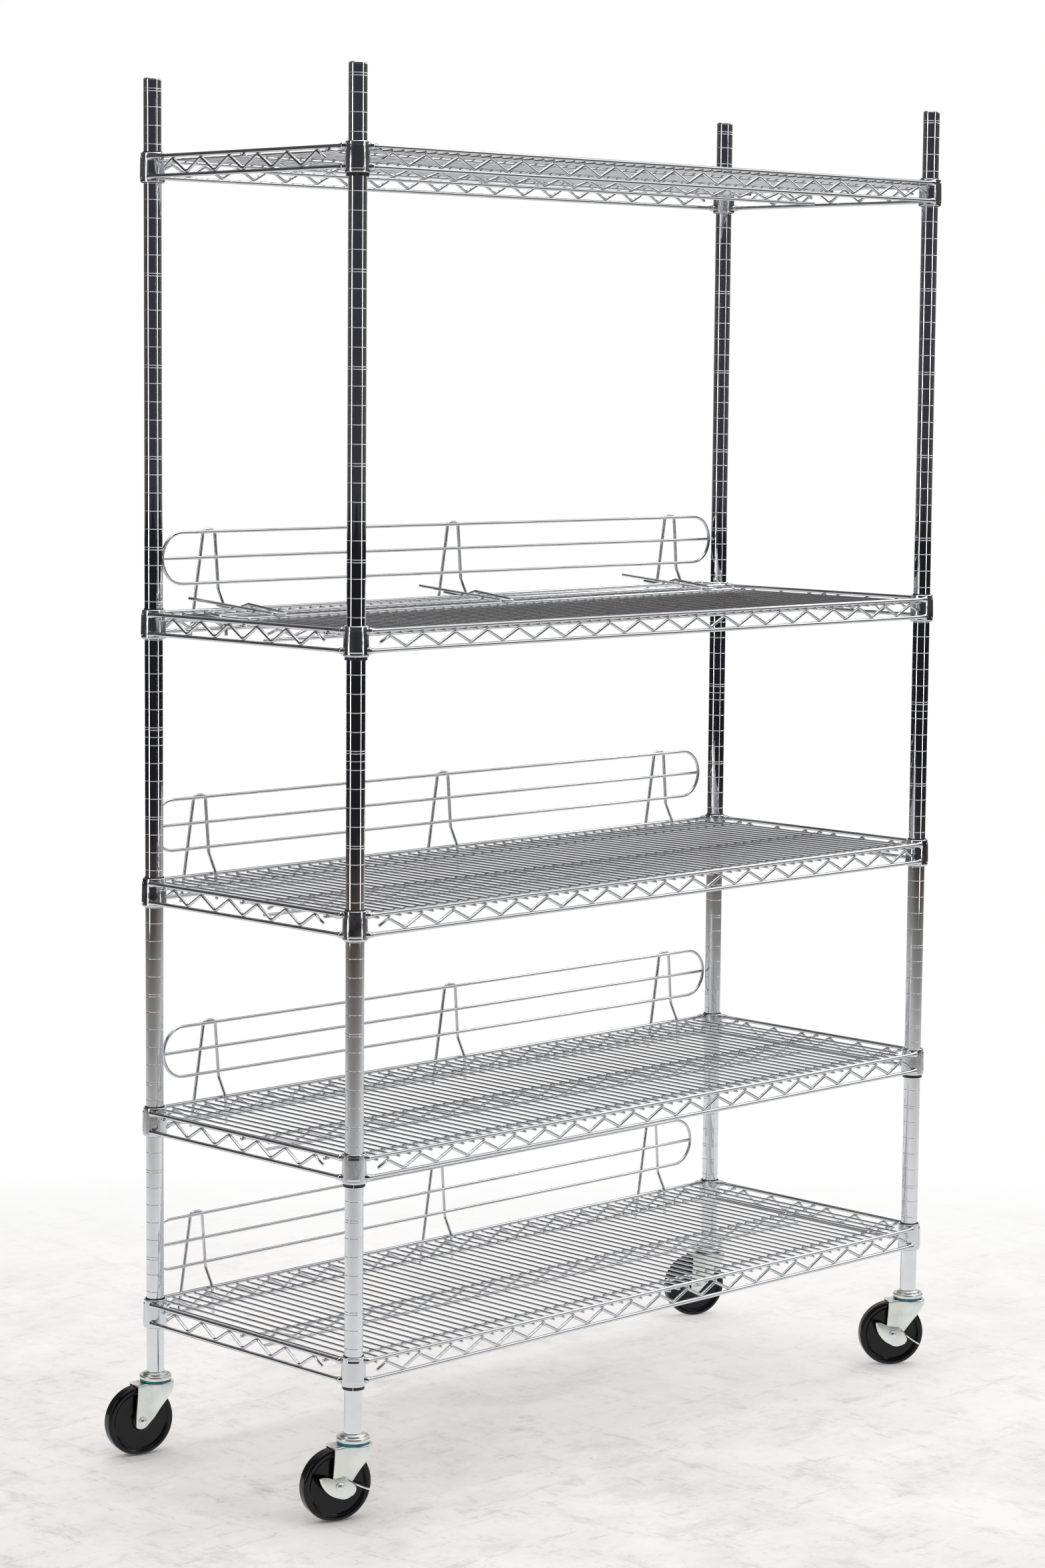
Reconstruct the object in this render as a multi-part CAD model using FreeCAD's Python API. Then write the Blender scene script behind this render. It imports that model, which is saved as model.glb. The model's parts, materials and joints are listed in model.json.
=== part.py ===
"""Wire shelf cart: four grooved posts, five welded wire shelves, back ledges and four swivel casters.

Lengths are millimetres. +Z is up, +X runs along the shelves, and the cart's front is -Y.
Everything is built about the vertical line through the middle of the four posts, with the
floor at Z = 0, and is moved last so that the origin is the centre of the footprint box.
"""
import FreeCAD, Part

import math
import os

# ---- driving dimensions ----
POST_SPACING_X = 1174.0
POST_SPACING_Y = 427.0
POST_FOOT_Z = 119.0
POST_RADIUS = 12.7
POST_BORE = 11.5
GROOVE_PITCH = 25.4
GROOVE_DEPTH = 0.5
GROOVE_FLOOR = 0.35
GROOVE_MOUTH = 0.8
GROOVE_COUNT = 70
DOUBLE_EVERY = 5
DOUBLE_DROP = 3.5
FIRST_GROOVE_Z = POST_FOOT_Z + 71.65 * GROOVE_PITCH
TUBE_TOP_Z = FIRST_GROOVE_Z + 12.0
CAP_HEIGHT = 3.0
POST_JOINT_GROOVE = 35.55

TIER_GROOVES = (3.45, 28.45, 43.45, 56.45, 67.45)
RIM_OFFSET = 15.0
BEAD_END = 22.0
WIRE_SHORT = BEAD_END - 0.1
RIM_WIRE = 6.0
DECK_WIRE = 3.4
LACING_WIRE = 4.5
TRUSS_WIRE = 5.0
WELD_BITE = 0.3
RIM_TOP = -6.5
RIM_BOTTOM = -33.3
COLLAR_HEIGHT = 41.0
SLEEVE_HEIGHT = 43.0
SLEEVE_PROUD = 1.5
SLEEVE_TOP_RADIUS = 13.9
SLEEVE_TAPER = 1.4 / 43.0
SLEEVE_PLAY = 0.05
SLEEVE_SWEEP = 176.0
SLEEVE_ARCS = 11

DECK_PITCH = 20.0
DECK_COUNT = 59
DECK_PROUD = 3.0
DECK_SHORT_END = 24.0
SUPPORT_ROWS = (-173.5, 0.0, 173.5)
LACING_PITCH = 60.0
LACING_PEAKS_X = 19
LACING_PEAKS_Y = 6
LACING_STUB = 17.5
LACING_BEND = 6.0

LEDGE_WIRE = 4.6
BRACKET_WIRE = 4.5
LEDGE_HALF_LENGTH = 569.0
LEDGE_BOTTOM = 33.0
LEDGE_PITCH = 36.5
BRACKET_PITCH = 480.0
BRACKET_OUT = 20.5
BRACKET_STEP = 12.0
BRACKET_FOOT = -44.0
# tier number : how far its ledge sits from the middle of the shelf, along X
LEDGE_SHIFTS = {2: 11.0, 3: -7.0, 4: 11.0, 5: -14.0}
SPARE_TIER = 2
SPARE_XY = (0.0, 97.5)
SPARE_SLOPE = 6.2
SPARE_YAW = 4.2

WHEEL_RADIUS = 50.8
WHEEL_HALF_TREAD = 10.0
WHEEL_SHOULDER = 4.5
WHEEL_HALF_HUB = 12.0
WHEEL_BORE = 6.08
BUSH_RADIUS = 6.0
AXLE_RADIUS = 4.0
TRAIL = 27.0
FORK_TOP = 105.0
FORK_SHEET = 2.5
FORK_HALF = 15.0
FORK_ROUND = 26.5
KINGPIN_RADIUS = 5.0
KINGPIN_HOLE = 5.08
BRAKE_SHEET = 2.0
BRAKE_GAP = 0.2
BRAKE_TAB = 9.0
NUT_RADIUS = 7.5
BALL_RADIUS = 3.0
BALL_CIRCLE = 16.0
BALL_COUNT = 12

# corner : (x side, y side, trail direction in degrees from +X)
CORNERS = {
    "front_left": (-1, -1, 164.0),
    "front_right": (1, -1, 145.0),
    "back_left": (-1, 1, 167.0),
    "back_right": (1, 1, 157.0),
}
# corner : how far its brake lever is pressed at rest, in degrees
BRAKES = {"front_left": 0.0, "front_right": 10.0}
# corner : tiers whose sleeve has slipped low and shows below the collar
LOW_SLEEVES = {"front_left": (1, 2, 4, 5), "front_right": (4,), "back_left": (), "back_right": (2,)}

X_AXIS = FreeCAD.Vector(1, 0, 0)
Y_AXIS = FreeCAD.Vector(0, 1, 0)
Z_AXIS = FreeCAD.Vector(0, 0, 1)


def vec(x, y, z):
    return FreeCAD.Vector(x, y, z)


def corner_xy(corner):
    side_x, side_y = CORNERS[corner][:2]
    return side_x * POST_SPACING_X / 2, side_y * POST_SPACING_Y / 2


def groove_z(index):
    return FIRST_GROOVE_Z - index * GROOVE_PITCH


def tier_z(tier):
    """Height of a shelf's collar tops."""
    return groove_z(TIER_GROOVES[tier - 1])


def rod(start, end, diameter):
    return Part.makeCylinder(diameter / 2, (end - start).Length, start, end - start)


def tube(outer, inner, low, high):
    outside = Part.makeCylinder(outer, high - low, vec(0, 0, low))
    return outside.cut(Part.makeCylinder(inner, high - low, vec(0, 0, low)))


def turned(profile, angle=360.0):
    """Solid turned about Z from a closed outline of (radius, z) points."""
    points = [vec(r, 0, z) for r, z in profile]
    face = Part.Face(Part.makePolygon(points + points[:1]))
    return face.revolve(vec(0, 0, 0), Z_AXIS, angle)


def rounded_path(points, bend):
    """Wire of straight runs joined by tangent arcs of one bend radius."""
    edges = []
    start = points[0]
    for before, corner, after in zip(points, points[1:], points[2:]):
        back = (before - corner).normalize()
        ahead = (after - corner).normalize()
        half_turn = (math.pi - back.getAngle(ahead)) / 2
        reach = bend * math.tan(half_turn)
        middle = (back + ahead).normalize()
        peak = corner + middle * (bend / math.cos(half_turn) - bend)
        arc_start = corner + back * reach
        arc_end = corner + ahead * reach
        edges.append(Part.LineSegment(start, arc_start).toShape())
        edges.append(Part.Arc(arc_start, peak, arc_end).toShape())
        start = arc_end
    edges.append(Part.LineSegment(start, points[-1]).toShape())
    return Part.Wire(edges)


def bent_wire(points, diameter, bend):
    path = rounded_path(points, bend)
    circle = Part.makeCircle(diameter / 2, points[0], points[1] - points[0])
    return path.makePipeShell([Part.Wire([circle])], True, True)


def placed(shape, offset, turn=0.0):
    copy = shape.copy()
    copy.rotate(vec(0, 0, 0), Z_AXIS, turn)
    copy.translate(offset)
    return copy


# ---- posts ----
def groove_heights(low, high):
    """Heights of the grooves between two levels, from the top down."""
    heights = []
    for index in range(GROOVE_COUNT):
        heights.append(groove_z(index))
        if index % DOUBLE_EVERY == 0:
            heights.append(groove_z(index) - DOUBLE_DROP)
    return [z for z in heights if low < z < high]


def post_tube(low, high):
    edge = 0.4
    profile = [(POST_BORE, low), (POST_BORE, high), (POST_RADIUS - edge, high), (POST_RADIUS, high - edge)]
    for z in groove_heights(low, high):
        profile.append((POST_RADIUS, z + GROOVE_MOUTH))
        profile.append((POST_RADIUS - GROOVE_DEPTH, z + GROOVE_FLOOR))
        profile.append((POST_RADIUS - GROOVE_DEPTH, z - GROOVE_FLOOR))
        profile.append((POST_RADIUS, z - GROOVE_MOUTH))
    profile += [(POST_RADIUS, low + edge), (POST_RADIUS - edge, low)]
    return turned(profile)


def post_cap():
    top = TUBE_TOP_Z + CAP_HEIGHT
    plug = POST_BORE - 0.05
    side = POST_RADIUS - 2.4
    points = [vec(0, 0, top), vec(side, 0, top), vec(POST_RADIUS, 0, top - 2.4), vec(POST_RADIUS, 0, TUBE_TOP_Z)]
    points += [vec(plug, 0, TUBE_TOP_Z), vec(plug, 0, TUBE_TOP_Z - 10), vec(0, 0, TUBE_TOP_Z - 10)]
    corner = vec(side + 2.4 * math.sin(math.pi / 4), 0, top - 2.4 + 2.4 * math.cos(math.pi / 4))
    edges = [Part.makeLine(points[0], points[1]), Part.Arc(points[1], corner, points[2]).toShape()]
    edges += [Part.makeLine(a, b) for a, b in zip(points[2:], points[3:] + points[:1])]
    return Part.Face(Part.Wire(edges)).revolve(vec(0, 0, 0), Z_AXIS, 360)


def joint_stud(joint_z):
    """Plug pressed into the upper tube, with a stud that screws into the lower one."""
    plug, stud = POST_BORE - 0.05, 4.95
    return turned([(0, joint_z + 22), (plug, joint_z + 22), (plug, joint_z + 0.1), (stud, joint_z + 0.1),
                   (stud, joint_z - 20), (0, joint_z - 20)])


def post_nodes():
    joint_z = groove_z(POST_JOINT_GROOVE)
    upper = post_tube(joint_z, TUBE_TOP_Z)
    lower = post_tube(POST_FOOT_Z, joint_z)
    joint_socket = tube(POST_BORE - 0.05, 5.0, joint_z - 24, joint_z)
    foot_socket = tube(POST_BORE - 0.05, 5.95, POST_FOOT_Z + 0.2, POST_FOOT_Z + 22)
    groups = {"post_caps": [], "post_joint_studs": [], "post_thread_sockets": []}
    nodes = {}
    for corner in CORNERS:
        at = vec(*corner_xy(corner), 0)
        nodes["upper_post_" + corner] = placed(upper, at)
        nodes["lower_post_" + corner] = placed(lower, at)
        groups["post_caps"].append(placed(post_cap(), at))
        groups["post_joint_studs"].append(placed(joint_stud(joint_z), at))
        groups["post_thread_sockets"] += [placed(joint_socket, at), placed(foot_socket, at)]
    nodes.update({name: Part.makeCompound(shapes) for name, shapes in groups.items()})
    return nodes


# ---- shelves: heights are measured from the collar tops ----
def deck_level():
    return RIM_TOP - RIM_WIRE / 2 - DECK_WIRE / 2 + WELD_BITE


def support_level():
    return deck_level() - DECK_WIRE / 2 - LACING_WIRE / 2 + WELD_BITE


def under_rim_level():
    return RIM_TOP - RIM_WIRE / 2 - LACING_WIRE / 2 + WELD_BITE


def lacing_floor():
    return RIM_BOTTOM + RIM_WIRE / 2 + LACING_WIRE / 2 - WELD_BITE


def rim_wires():
    side_x, side_y = POST_SPACING_X / 2, POST_SPACING_Y / 2
    wires = []
    for level in (RIM_TOP, RIM_BOTTOM):
        for side in (-1, 1):
            y = side * (side_y + RIM_OFFSET)
            x = side * (side_x + RIM_OFFSET)
            wires.append(rod(vec(WIRE_SHORT - side_x, y, level), vec(side_x - WIRE_SHORT, y, level), RIM_WIRE))
            wires.append(rod(vec(x, WIRE_SHORT - side_y, level), vec(x, side_y - WIRE_SHORT, level), RIM_WIRE))
    return Part.makeCompound(wires)


def weld_bead(along, level):
    """Bead joining a rim wire to the corner at (-1, -1); along is 'x' or 'y'."""
    near, radius, end_radius = 12.0, 4.6, RIM_WIRE / 2 + 0.2
    if along == "x":
        start, end = vec(near, -RIM_OFFSET, level), vec(BEAD_END, -RIM_OFFSET, level)
    else:
        start, end = vec(-RIM_OFFSET, near, level), vec(-RIM_OFFSET, BEAD_END, level)
    taper = Part.makeCone(radius, end_radius, BEAD_END - near, start, end - start)
    return Part.makeSphere(radius, start).fuse(taper)


def bore_radius(z):
    """Radius of a collar's tapered bore at a height from the collar's top."""
    return SLEEVE_TOP_RADIUS + SLEEVE_PLAY - (z - SLEEVE_PROUD) * SLEEVE_TAPER


def collar():
    """Tapered steel collar of the (-1, -1) corner, with its outer pad and its weld beads."""
    low = -COLLAR_HEIGHT
    body = turned([(bore_radius(0), 0), (15.9, 0), (16.5, -1.2), (17.5, low + 2.5), (16.8, low),
                   (bore_radius(low), low)])
    pad = turned([(15.5, -4), (17.4, -6), (18.2, -34), (16.5, -37)], 64.0)
    pad.rotate(vec(0, 0, 0), Z_AXIS, 225.0 - 32.0)
    beads = [weld_bead(along, level) for along in "xy" for level in (RIM_TOP, RIM_BOTTOM)]
    bore = turned([(0, 1), (bore_radius(1), 1), (bore_radius(low - 1), low - 1), (0, low - 1)])
    return body.multiFuse([pad] + beads).cut(bore)


def sleeve_halves(drop):
    """Split plastic sleeve, wedged between post and collar, with a rib for the post's groove."""
    top = SLEEVE_PROUD - drop
    low = top - SLEEVE_HEIGHT
    rib = -14.0
    bore = POST_RADIUS + 0.02
    low_radius = SLEEVE_TOP_RADIUS + SLEEVE_HEIGHT * SLEEVE_TAPER
    profile = [(bore, low), (low_radius, low), (SLEEVE_TOP_RADIUS, top), (bore, top)]
    profile += [(bore, rib + 0.6), (POST_RADIUS - 0.35, rib + 0.3), (POST_RADIUS - 0.35, rib - 0.3), (bore, rib - 0.6)]
    arc = SLEEVE_SWEEP / SLEEVE_ARCS
    first = (180.0 - SLEEVE_SWEEP) / 2
    arcs = [placed(turned(profile, arc), vec(0, 0, 0), first + index * arc) for index in range(SLEEVE_ARCS)]
    half = arcs[0].multiFuse(arcs[1:])
    return [half, placed(half, vec(0, 0, 0), 180.0)]


def zigzag(count, crest, dip, axis, across):
    """Lacing wire with a number of peaks along one axis and a free stub at each end."""
    first = -LACING_PITCH * (count - 1) / 2
    high, low = crest, dip
    for _ in range(5):
        slope = math.atan2(high - low, LACING_PITCH / 2)
        rounding = LACING_BEND * (1 / math.cos(slope) - 1)
        high, low = crest + rounding, dip - rounding
    stub_drop = (high - low) * LACING_STUB / (LACING_PITCH / 2)
    route = [(first - LACING_STUB, high - stub_drop)]
    for peak in range(count):
        at = first + peak * LACING_PITCH
        route.append((at, high))
        if peak < count - 1:
            route.append((at + LACING_PITCH / 2, low))
    route.append((-first + LACING_STUB, high - stub_drop))
    points = [vec(s, across, z) if axis == "x" else vec(across, s, z) for s, z in route]
    return bent_wire(points, LACING_WIRE, LACING_BEND)


def lacing_wires():
    across_y = POST_SPACING_Y / 2 + RIM_OFFSET
    across_x = POST_SPACING_X / 2 + RIM_OFFSET
    wires = []
    for side in (-1, 1):
        wires.append(zigzag(LACING_PEAKS_X, support_level(), lacing_floor(), "x", side * across_y))
        wires.append(zigzag(LACING_PEAKS_Y, under_rim_level(), lacing_floor(), "y", side * across_x))
    peak = support_level() - LACING_WIRE + WELD_BITE
    chord_z = lacing_floor() - LACING_WIRE / 2 - TRUSS_WIRE / 2 + WELD_BITE
    end = POST_SPACING_X / 2 - 22.0
    chord = rod(vec(-end, 0, chord_z), vec(end, 0, chord_z), TRUSS_WIRE)
    wires.append(zigzag(LACING_PEAKS_X, peak, lacing_floor(), "x", 0.0).fuse(chord))
    return Part.makeCompound(wires)


def support_wire(y):
    """Lengthwise wire under the deck, bent up at each end to meet the side rims."""
    low, high = support_level(), under_rim_level()
    half = POST_SPACING_X / 2
    stations = ((half + 20.0, high), (half + 5.0, high), (half - 4.0, low))
    left = [vec(-x, y, z) for x, z in stations]
    right = [vec(x, y, z) for x, z in reversed(stations)]
    return bent_wire(left + right, LACING_WIRE, 8.0)


def deck_grid():
    level = deck_level()
    first = -DECK_PITCH * (DECK_COUNT - 1) / 2
    wires = []
    for index in range(DECK_COUNT):
        x = first + index * DECK_PITCH
        end = POST_SPACING_Y / 2 + RIM_OFFSET + DECK_PROUD
        if index in (0, DECK_COUNT - 1):
            end = POST_SPACING_Y / 2 - DECK_SHORT_END
        wires.append(rod(vec(x, -end, level), vec(x, end, level), DECK_WIRE))
    supports = [support_wire(y) for y in SUPPORT_ROWS]
    return supports[0].multiFuse(supports[1:] + wires)


def shelf_nodes():
    rims, lacing, deck = rim_wires(), lacing_wires(), deck_grid()
    corner_collar = collar()
    nodes = {}
    for tier in range(1, len(TIER_GROOVES) + 1):
        up = vec(0, 0, tier_z(tier))
        collars, sleeves = [], []
        for corner, (side_x, side_y, _) in CORNERS.items():
            at = vec(*corner_xy(corner), tier_z(tier))
            turn = {(-1, -1): 0, (1, -1): 90, (1, 1): 180, (-1, 1): 270}[(side_x, side_y)]
            collars.append(placed(corner_collar, at, turn))
            drop = 4.0 if tier in LOW_SLEEVES[corner] else 0.0
            sleeves += [placed(half, at, turn + 45.0) for half in sleeve_halves(drop)]
        nodes["shelf_%d_rim" % tier] = placed(rims, up)
        nodes["shelf_%d_collars" % tier] = Part.makeCompound(collars)
        nodes["shelf_%d_lacing" % tier] = placed(lacing, up)
        nodes["shelf_%d_deck" % tier] = placed(deck, up)
        nodes["shelf_%d_sleeves" % tier] = Part.makeCompound(sleeves)
    return nodes


# ---- ledges ----
def ledge_loop():
    """Stadium loop and its middle wire, standing in the XZ plane."""
    straight = LEDGE_HALF_LENGTH - LEDGE_PITCH
    middle = LEDGE_BOTTOM + LEDGE_PITCH
    pieces = []
    for level in (LEDGE_BOTTOM, LEDGE_BOTTOM + 2 * LEDGE_PITCH):
        pieces.append(rod(vec(-straight, 0, level), vec(straight, 0, level), LEDGE_WIRE))
    for side in (-1, 1):
        circle = Part.makeCircle(LEDGE_WIRE / 2, vec(side * straight, 0, middle + LEDGE_PITCH), X_AXIS)
        face = Part.Face(Part.Wire([circle]))
        pieces.append(face.revolve(vec(side * straight, 0, middle), Y_AXIS, side * 180.0))
    reach = LEDGE_HALF_LENGTH - LEDGE_WIRE / 4
    pieces.append(rod(vec(-reach, 0, middle), vec(reach, 0, middle), LEDGE_WIRE))
    return pieces[0].multiFuse(pieces[1:])


def ledge_bracket(x):
    """Narrow U: its outer leg hangs behind the rim and its inner leg steps in through the deck."""
    top = LEDGE_BOTTOM + 2 * LEDGE_PITCH + 3.0
    step = -BRACKET_STEP
    points = [vec(x - 35, 0, BRACKET_FOOT), vec(x - 10.3, 0, top), vec(x + 10.3, 0, top), vec(x + 17, 0, 24),
              vec(x + 20, step, -4), vec(x + 22, step, BRACKET_FOOT)]
    return bent_wire(points, BRACKET_WIRE, 7.5)


def ledge():
    loop = ledge_loop()
    loop.translate(vec(0, WELD_BITE - (LEDGE_WIRE + BRACKET_WIRE) / 2, 0))
    brackets = [ledge_bracket(index * BRACKET_PITCH) for index in (-1, 0, 1)]
    return Part.makeCompound([loop] + brackets)


def ledge_nodes():
    one = ledge()
    nodes = {}
    for tier, shift in LEDGE_SHIFTS.items():
        at = vec(shift, POST_SPACING_Y / 2 + BRACKET_OUT, tier_z(tier))
        nodes["ledge_%d" % tier] = placed(one, at)
    apex = LEDGE_BOTTOM + 2 * LEDGE_PITCH + 3.0
    spare = placed(one, vec(0, 0, -apex))
    spare.rotate(vec(0, 0, 0), X_AXIS, 90.0 + SPARE_SLOPE)
    spare.rotate(vec(0, 0, 0), Z_AXIS, SPARE_YAW)
    deck_top = tier_z(SPARE_TIER) + deck_level() + DECK_WIRE / 2
    spare.translate(vec(*SPARE_XY, deck_top + 6.25))
    nodes["ledge_spare"] = spare
    return nodes


# ---- casters: built at the origin, trailing along +X, the brake and bolt head on the +Y side ----
def sheet(outline, y_low, y_high):
    """Flat sheet standing in XZ, from a closed list of edges."""
    face = Part.Face(Part.Wire(outline))
    face.translate(vec(0, y_low, 0))
    return face.extrude(vec(0, y_high - y_low, 0))


def polygon_edges(points):
    corners = [vec(x, 0, z) for x, z in points]
    return [Part.makeLine(a, b) for a, b in zip(corners, corners[1:])]


def leg_outline():
    """Flat part of a leg: straight behind, slanted in front, round below the axle."""
    reach = 10.4
    back = vec(TRAIL + reach, 0, WHEEL_RADIUS)
    slant = math.radians(215.0)
    front = vec(TRAIL + reach * math.cos(slant), 0, WHEEL_RADIUS + reach * math.sin(slant))
    edges = [Part.Arc(back, vec(TRAIL, 0, WHEEL_RADIUS - reach), front).toShape()]
    points = [(front.x, front.z), (8, 56), (-10, 81), (-21, FORK_TOP), (34.3, FORK_TOP), (back.x, back.z)]
    return edges + polygon_edges(points)


def fork():
    plate = Part.makeCylinder(FORK_ROUND, FORK_SHEET, vec(0, 0, FORK_TOP - FORK_SHEET))
    tail = Part.makeBox(34.3, 2 * FORK_HALF, FORK_SHEET, vec(0, -FORK_HALF, FORK_TOP - FORK_SHEET))
    skirt = tube(FORK_ROUND, FORK_ROUND - 2.2, FORK_TOP - 9, FORK_TOP - 1)
    skirt = skirt.common(Part.makeBox(40.0, 60, 12, vec(-40, -30, FORK_TOP - 10)))
    pieces = [tail, skirt]
    swell = [(16, FORK_TOP - 1), (-19, FORK_TOP - 1), (-10, 81), (1, 66), (16, 66), (16, FORK_TOP - 1)]
    for low, high in ((-FORK_HALF, FORK_SHEET - FORK_HALF), (FORK_HALF - FORK_SHEET, FORK_HALF)):
        pieces.append(sheet(leg_outline(), low, high))
    for low in (-FORK_HALF - 3.0, FORK_HALF - 1.0):
        pieces.append(sheet(polygon_edges(swell), low, low + 4.0))
    body = plate.multiFuse(pieces)
    kingpin_hole = Part.makeCylinder(KINGPIN_HOLE, 10, vec(0, 0, FORK_TOP - 5))
    axle_hole = Part.makeCylinder(AXLE_RADIUS + 0.05, 50, vec(TRAIL, -25, WHEEL_RADIUS), Y_AXIS)
    return body.cut(kingpin_hole).cut(axle_hole)


def across_axle(shape):
    """Turn a solid made about Z to lie on the axle, its +Z towards +Y."""
    turned_shape = shape.copy()
    turned_shape.rotate(vec(0, 0, 0), X_AXIS, -90.0)
    turned_shape.translate(vec(TRAIL, 0, WHEEL_RADIUS))
    return turned_shape


def wheel():
    outer = WHEEL_RADIUS - WHEEL_SHOULDER
    flat = WHEEL_HALF_TREAD - WHEEL_SHOULDER
    diagonal = WHEEL_SHOULDER * math.sin(math.pi / 4)
    half = [(WHEEL_BORE, WHEEL_HALF_HUB), (12.5, WHEEL_HALF_HUB), (14, 9), (20, 5.6), (38, 5.6), (43.5, 9.2),
            (outer, WHEEL_HALF_TREAD)]
    up = [vec(r, 0, z) for r, z in half]
    down = [vec(r, 0, -z) for r, z in reversed(half)]
    edges = [Part.makeLine(a, b) for a, b in zip(up, up[1:])]
    edges.append(Part.Arc(up[-1], vec(outer + diagonal, 0, flat + diagonal), vec(WHEEL_RADIUS, 0, flat)).toShape())
    edges.append(Part.makeLine(vec(WHEEL_RADIUS, 0, flat), vec(WHEEL_RADIUS, 0, -flat)))
    edges.append(Part.Arc(vec(WHEEL_RADIUS, 0, -flat), vec(outer + diagonal, 0, -flat - diagonal), down[0]).toShape())
    edges += [Part.makeLine(a, b) for a, b in zip(down, down[1:] + up[:1])]
    return across_axle(Part.Face(Part.Wire(edges)).revolve(vec(0, 0, 0), Z_AXIS, 360))


def axle_set(head_face):
    """Bolt with a domed head on the brake side, its nut, and the bush that the wheel turns on."""
    nut_face, nut_end = -FORK_HALF, -FORK_HALF - 6.5
    bolt = turned([(0, head_face + 4.2), (3.4, head_face + 3.6), (5.4, head_face + 2), (6.2, head_face),
                   (AXLE_RADIUS, head_face), (AXLE_RADIUS, nut_end - 2.5), (0, nut_end - 2.5)])
    turns = [math.radians(angle) for angle in range(0, 360, 60)]
    hexagon = [vec(NUT_RADIUS * math.cos(turn), NUT_RADIUS * math.sin(turn), nut_end) for turn in turns]
    nut = Part.Face(Part.makePolygon(hexagon + hexagon[:1])).extrude(vec(0, 0, nut_face - nut_end))
    nut = nut.cut(Part.makeCylinder(AXLE_RADIUS + 0.02, 10, vec(0, 0, nut_end - 1)))
    half_bush = FORK_HALF - FORK_SHEET - 0.1
    bush = tube(BUSH_RADIUS, AXLE_RADIUS + 0.05, -half_bush, half_bush)
    return Part.makeCompound([across_axle(piece) for piece in (bolt, nut, bush)])


def brake_lever():
    """Crescent plate that turns on the axle bolt, with a foot tab bent outwards in front."""
    near = FORK_HALF + BRAKE_GAP
    far = near + BRAKE_SHEET
    tip, belly, heel = vec(59, 0, 66), vec(28, 0, 34.5), vec(3, 0, 47.5)
    edges = [Part.Arc(tip, vec(47.5, 0, 45.5), belly).toShape(), Part.makeLine(belly, vec(11, 0, 35.5))]
    edges += [Part.makeLine(vec(11, 0, 35.5), heel), Part.makeLine(heel, vec(9, 0, 55.5))]
    edges += [Part.makeLine(vec(9, 0, 55.5), vec(18, 0, 63.5)), Part.makeLine(vec(18, 0, 63.5), vec(38, 0, 62))]
    edges.append(Part.Arc(vec(38, 0, 62), vec(48, 0, 66.2), tip).toShape())
    plate = sheet(edges, near, far)
    root, end = vec(16, 0, 60.5), vec(-17, 0, 43.5)
    along = (end - root).normalize()
    thick = vec(along.z, 0, -along.x) * (-BRAKE_SHEET)
    outline = [root, end, end + thick, root + thick, root]
    tab = sheet([Part.makeLine(a, b) for a, b in zip(outline, outline[1:])], near, far + BRAKE_TAB)
    hole = Part.makeCylinder(AXLE_RADIUS + 0.05, 20, vec(TRAIL, near - 9, WHEEL_RADIUS), Y_AXIS)
    return plate.fuse(tab).cut(hole)


def race_cap():
    """Upper race, fixed to the stem: a dome over the ball ring."""
    return turned([(KINGPIN_RADIUS + 0.02, 119), (13.2, 119), (18, 117.6), (22, 115.2), (23.3, 112.8), (23.3, 110.2),
                   (21, 110.2), (20, 111.6), (12, 111.6), (9, 109), (9, FORK_TOP + 0.4), (KINGPIN_RADIUS + 0.02, 105.4)])


def caster_stem():
    """Threaded stem above the race, kingpin through it and a riveted head under the fork."""
    return turned([(0, 150), (5.2, 150), (5.9, 149), (5.9, 119.1), (KINGPIN_RADIUS, 119.1), (KINGPIN_RADIUS, 102.1),
                   (8, 102.1), (8, 100.6), (6.5, 99.4), (0, 99.4)])


def caster_nodes():
    seal = tube(22.6, 19.5, FORK_TOP + 0.4, FORK_TOP + 4.9)
    groups = {"caster_stems": [], "caster_race_caps": [], "caster_seals": [], "caster_balls": []}
    nodes = {}
    for corner, (_, _, heading) in CORNERS.items():
        at = vec(*corner_xy(corner), 0)
        groups["caster_stems"].append(placed(caster_stem(), at))
        groups["caster_race_caps"].append(placed(race_cap(), at))
        groups["caster_seals"].append(placed(seal, at))
        for index in range(BALL_COUNT):
            turn = 2 * math.pi * index / BALL_COUNT
            centre = vec(BALL_CIRCLE * math.cos(turn), BALL_CIRCLE * math.sin(turn), FORK_TOP + BALL_RADIUS + 0.4)
            groups["caster_balls"].append(placed(Part.makeSphere(BALL_RADIUS, centre), at))
        head_face = FORK_HALF + (BRAKE_GAP + BRAKE_SHEET + 0.2 if corner in BRAKES else 0.0)
        nodes["fork_" + corner] = placed(fork(), at, heading)
        nodes["axle_" + corner] = placed(axle_set(head_face), at, heading)
        nodes["wheel_" + corner] = placed(wheel(), at, heading)
        if corner in BRAKES:
            lever = brake_lever()
            lever.rotate(vec(TRAIL, 0, WHEEL_RADIUS), Y_AXIS, -BRAKES[corner])
            nodes["brake_" + corner] = placed(lever, at, heading)
    nodes.update({name: Part.makeCompound(shapes) for name, shapes in groups.items()})
    return nodes


def footprint_centre(nodes):
    box = FreeCAD.BoundBox()
    for shape in nodes.values():
        box.add(shape.optimalBoundingBox(False))
    return (box.XMin + box.XMax) / 2, (box.YMin + box.YMax) / 2


def build():
    """All nodes by name, with the origin at the centre of the footprint, on the floor."""
    nodes = {}
    for group in (post_nodes(), shelf_nodes(), ledge_nodes(), caster_nodes()):
        nodes.update(group)
    centre_x, centre_y = footprint_centre(nodes)
    for shape in nodes.values():
        shape.translate(vec(-centre_x, -centre_y, 0))
    return nodes, (centre_x, centre_y)


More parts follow.
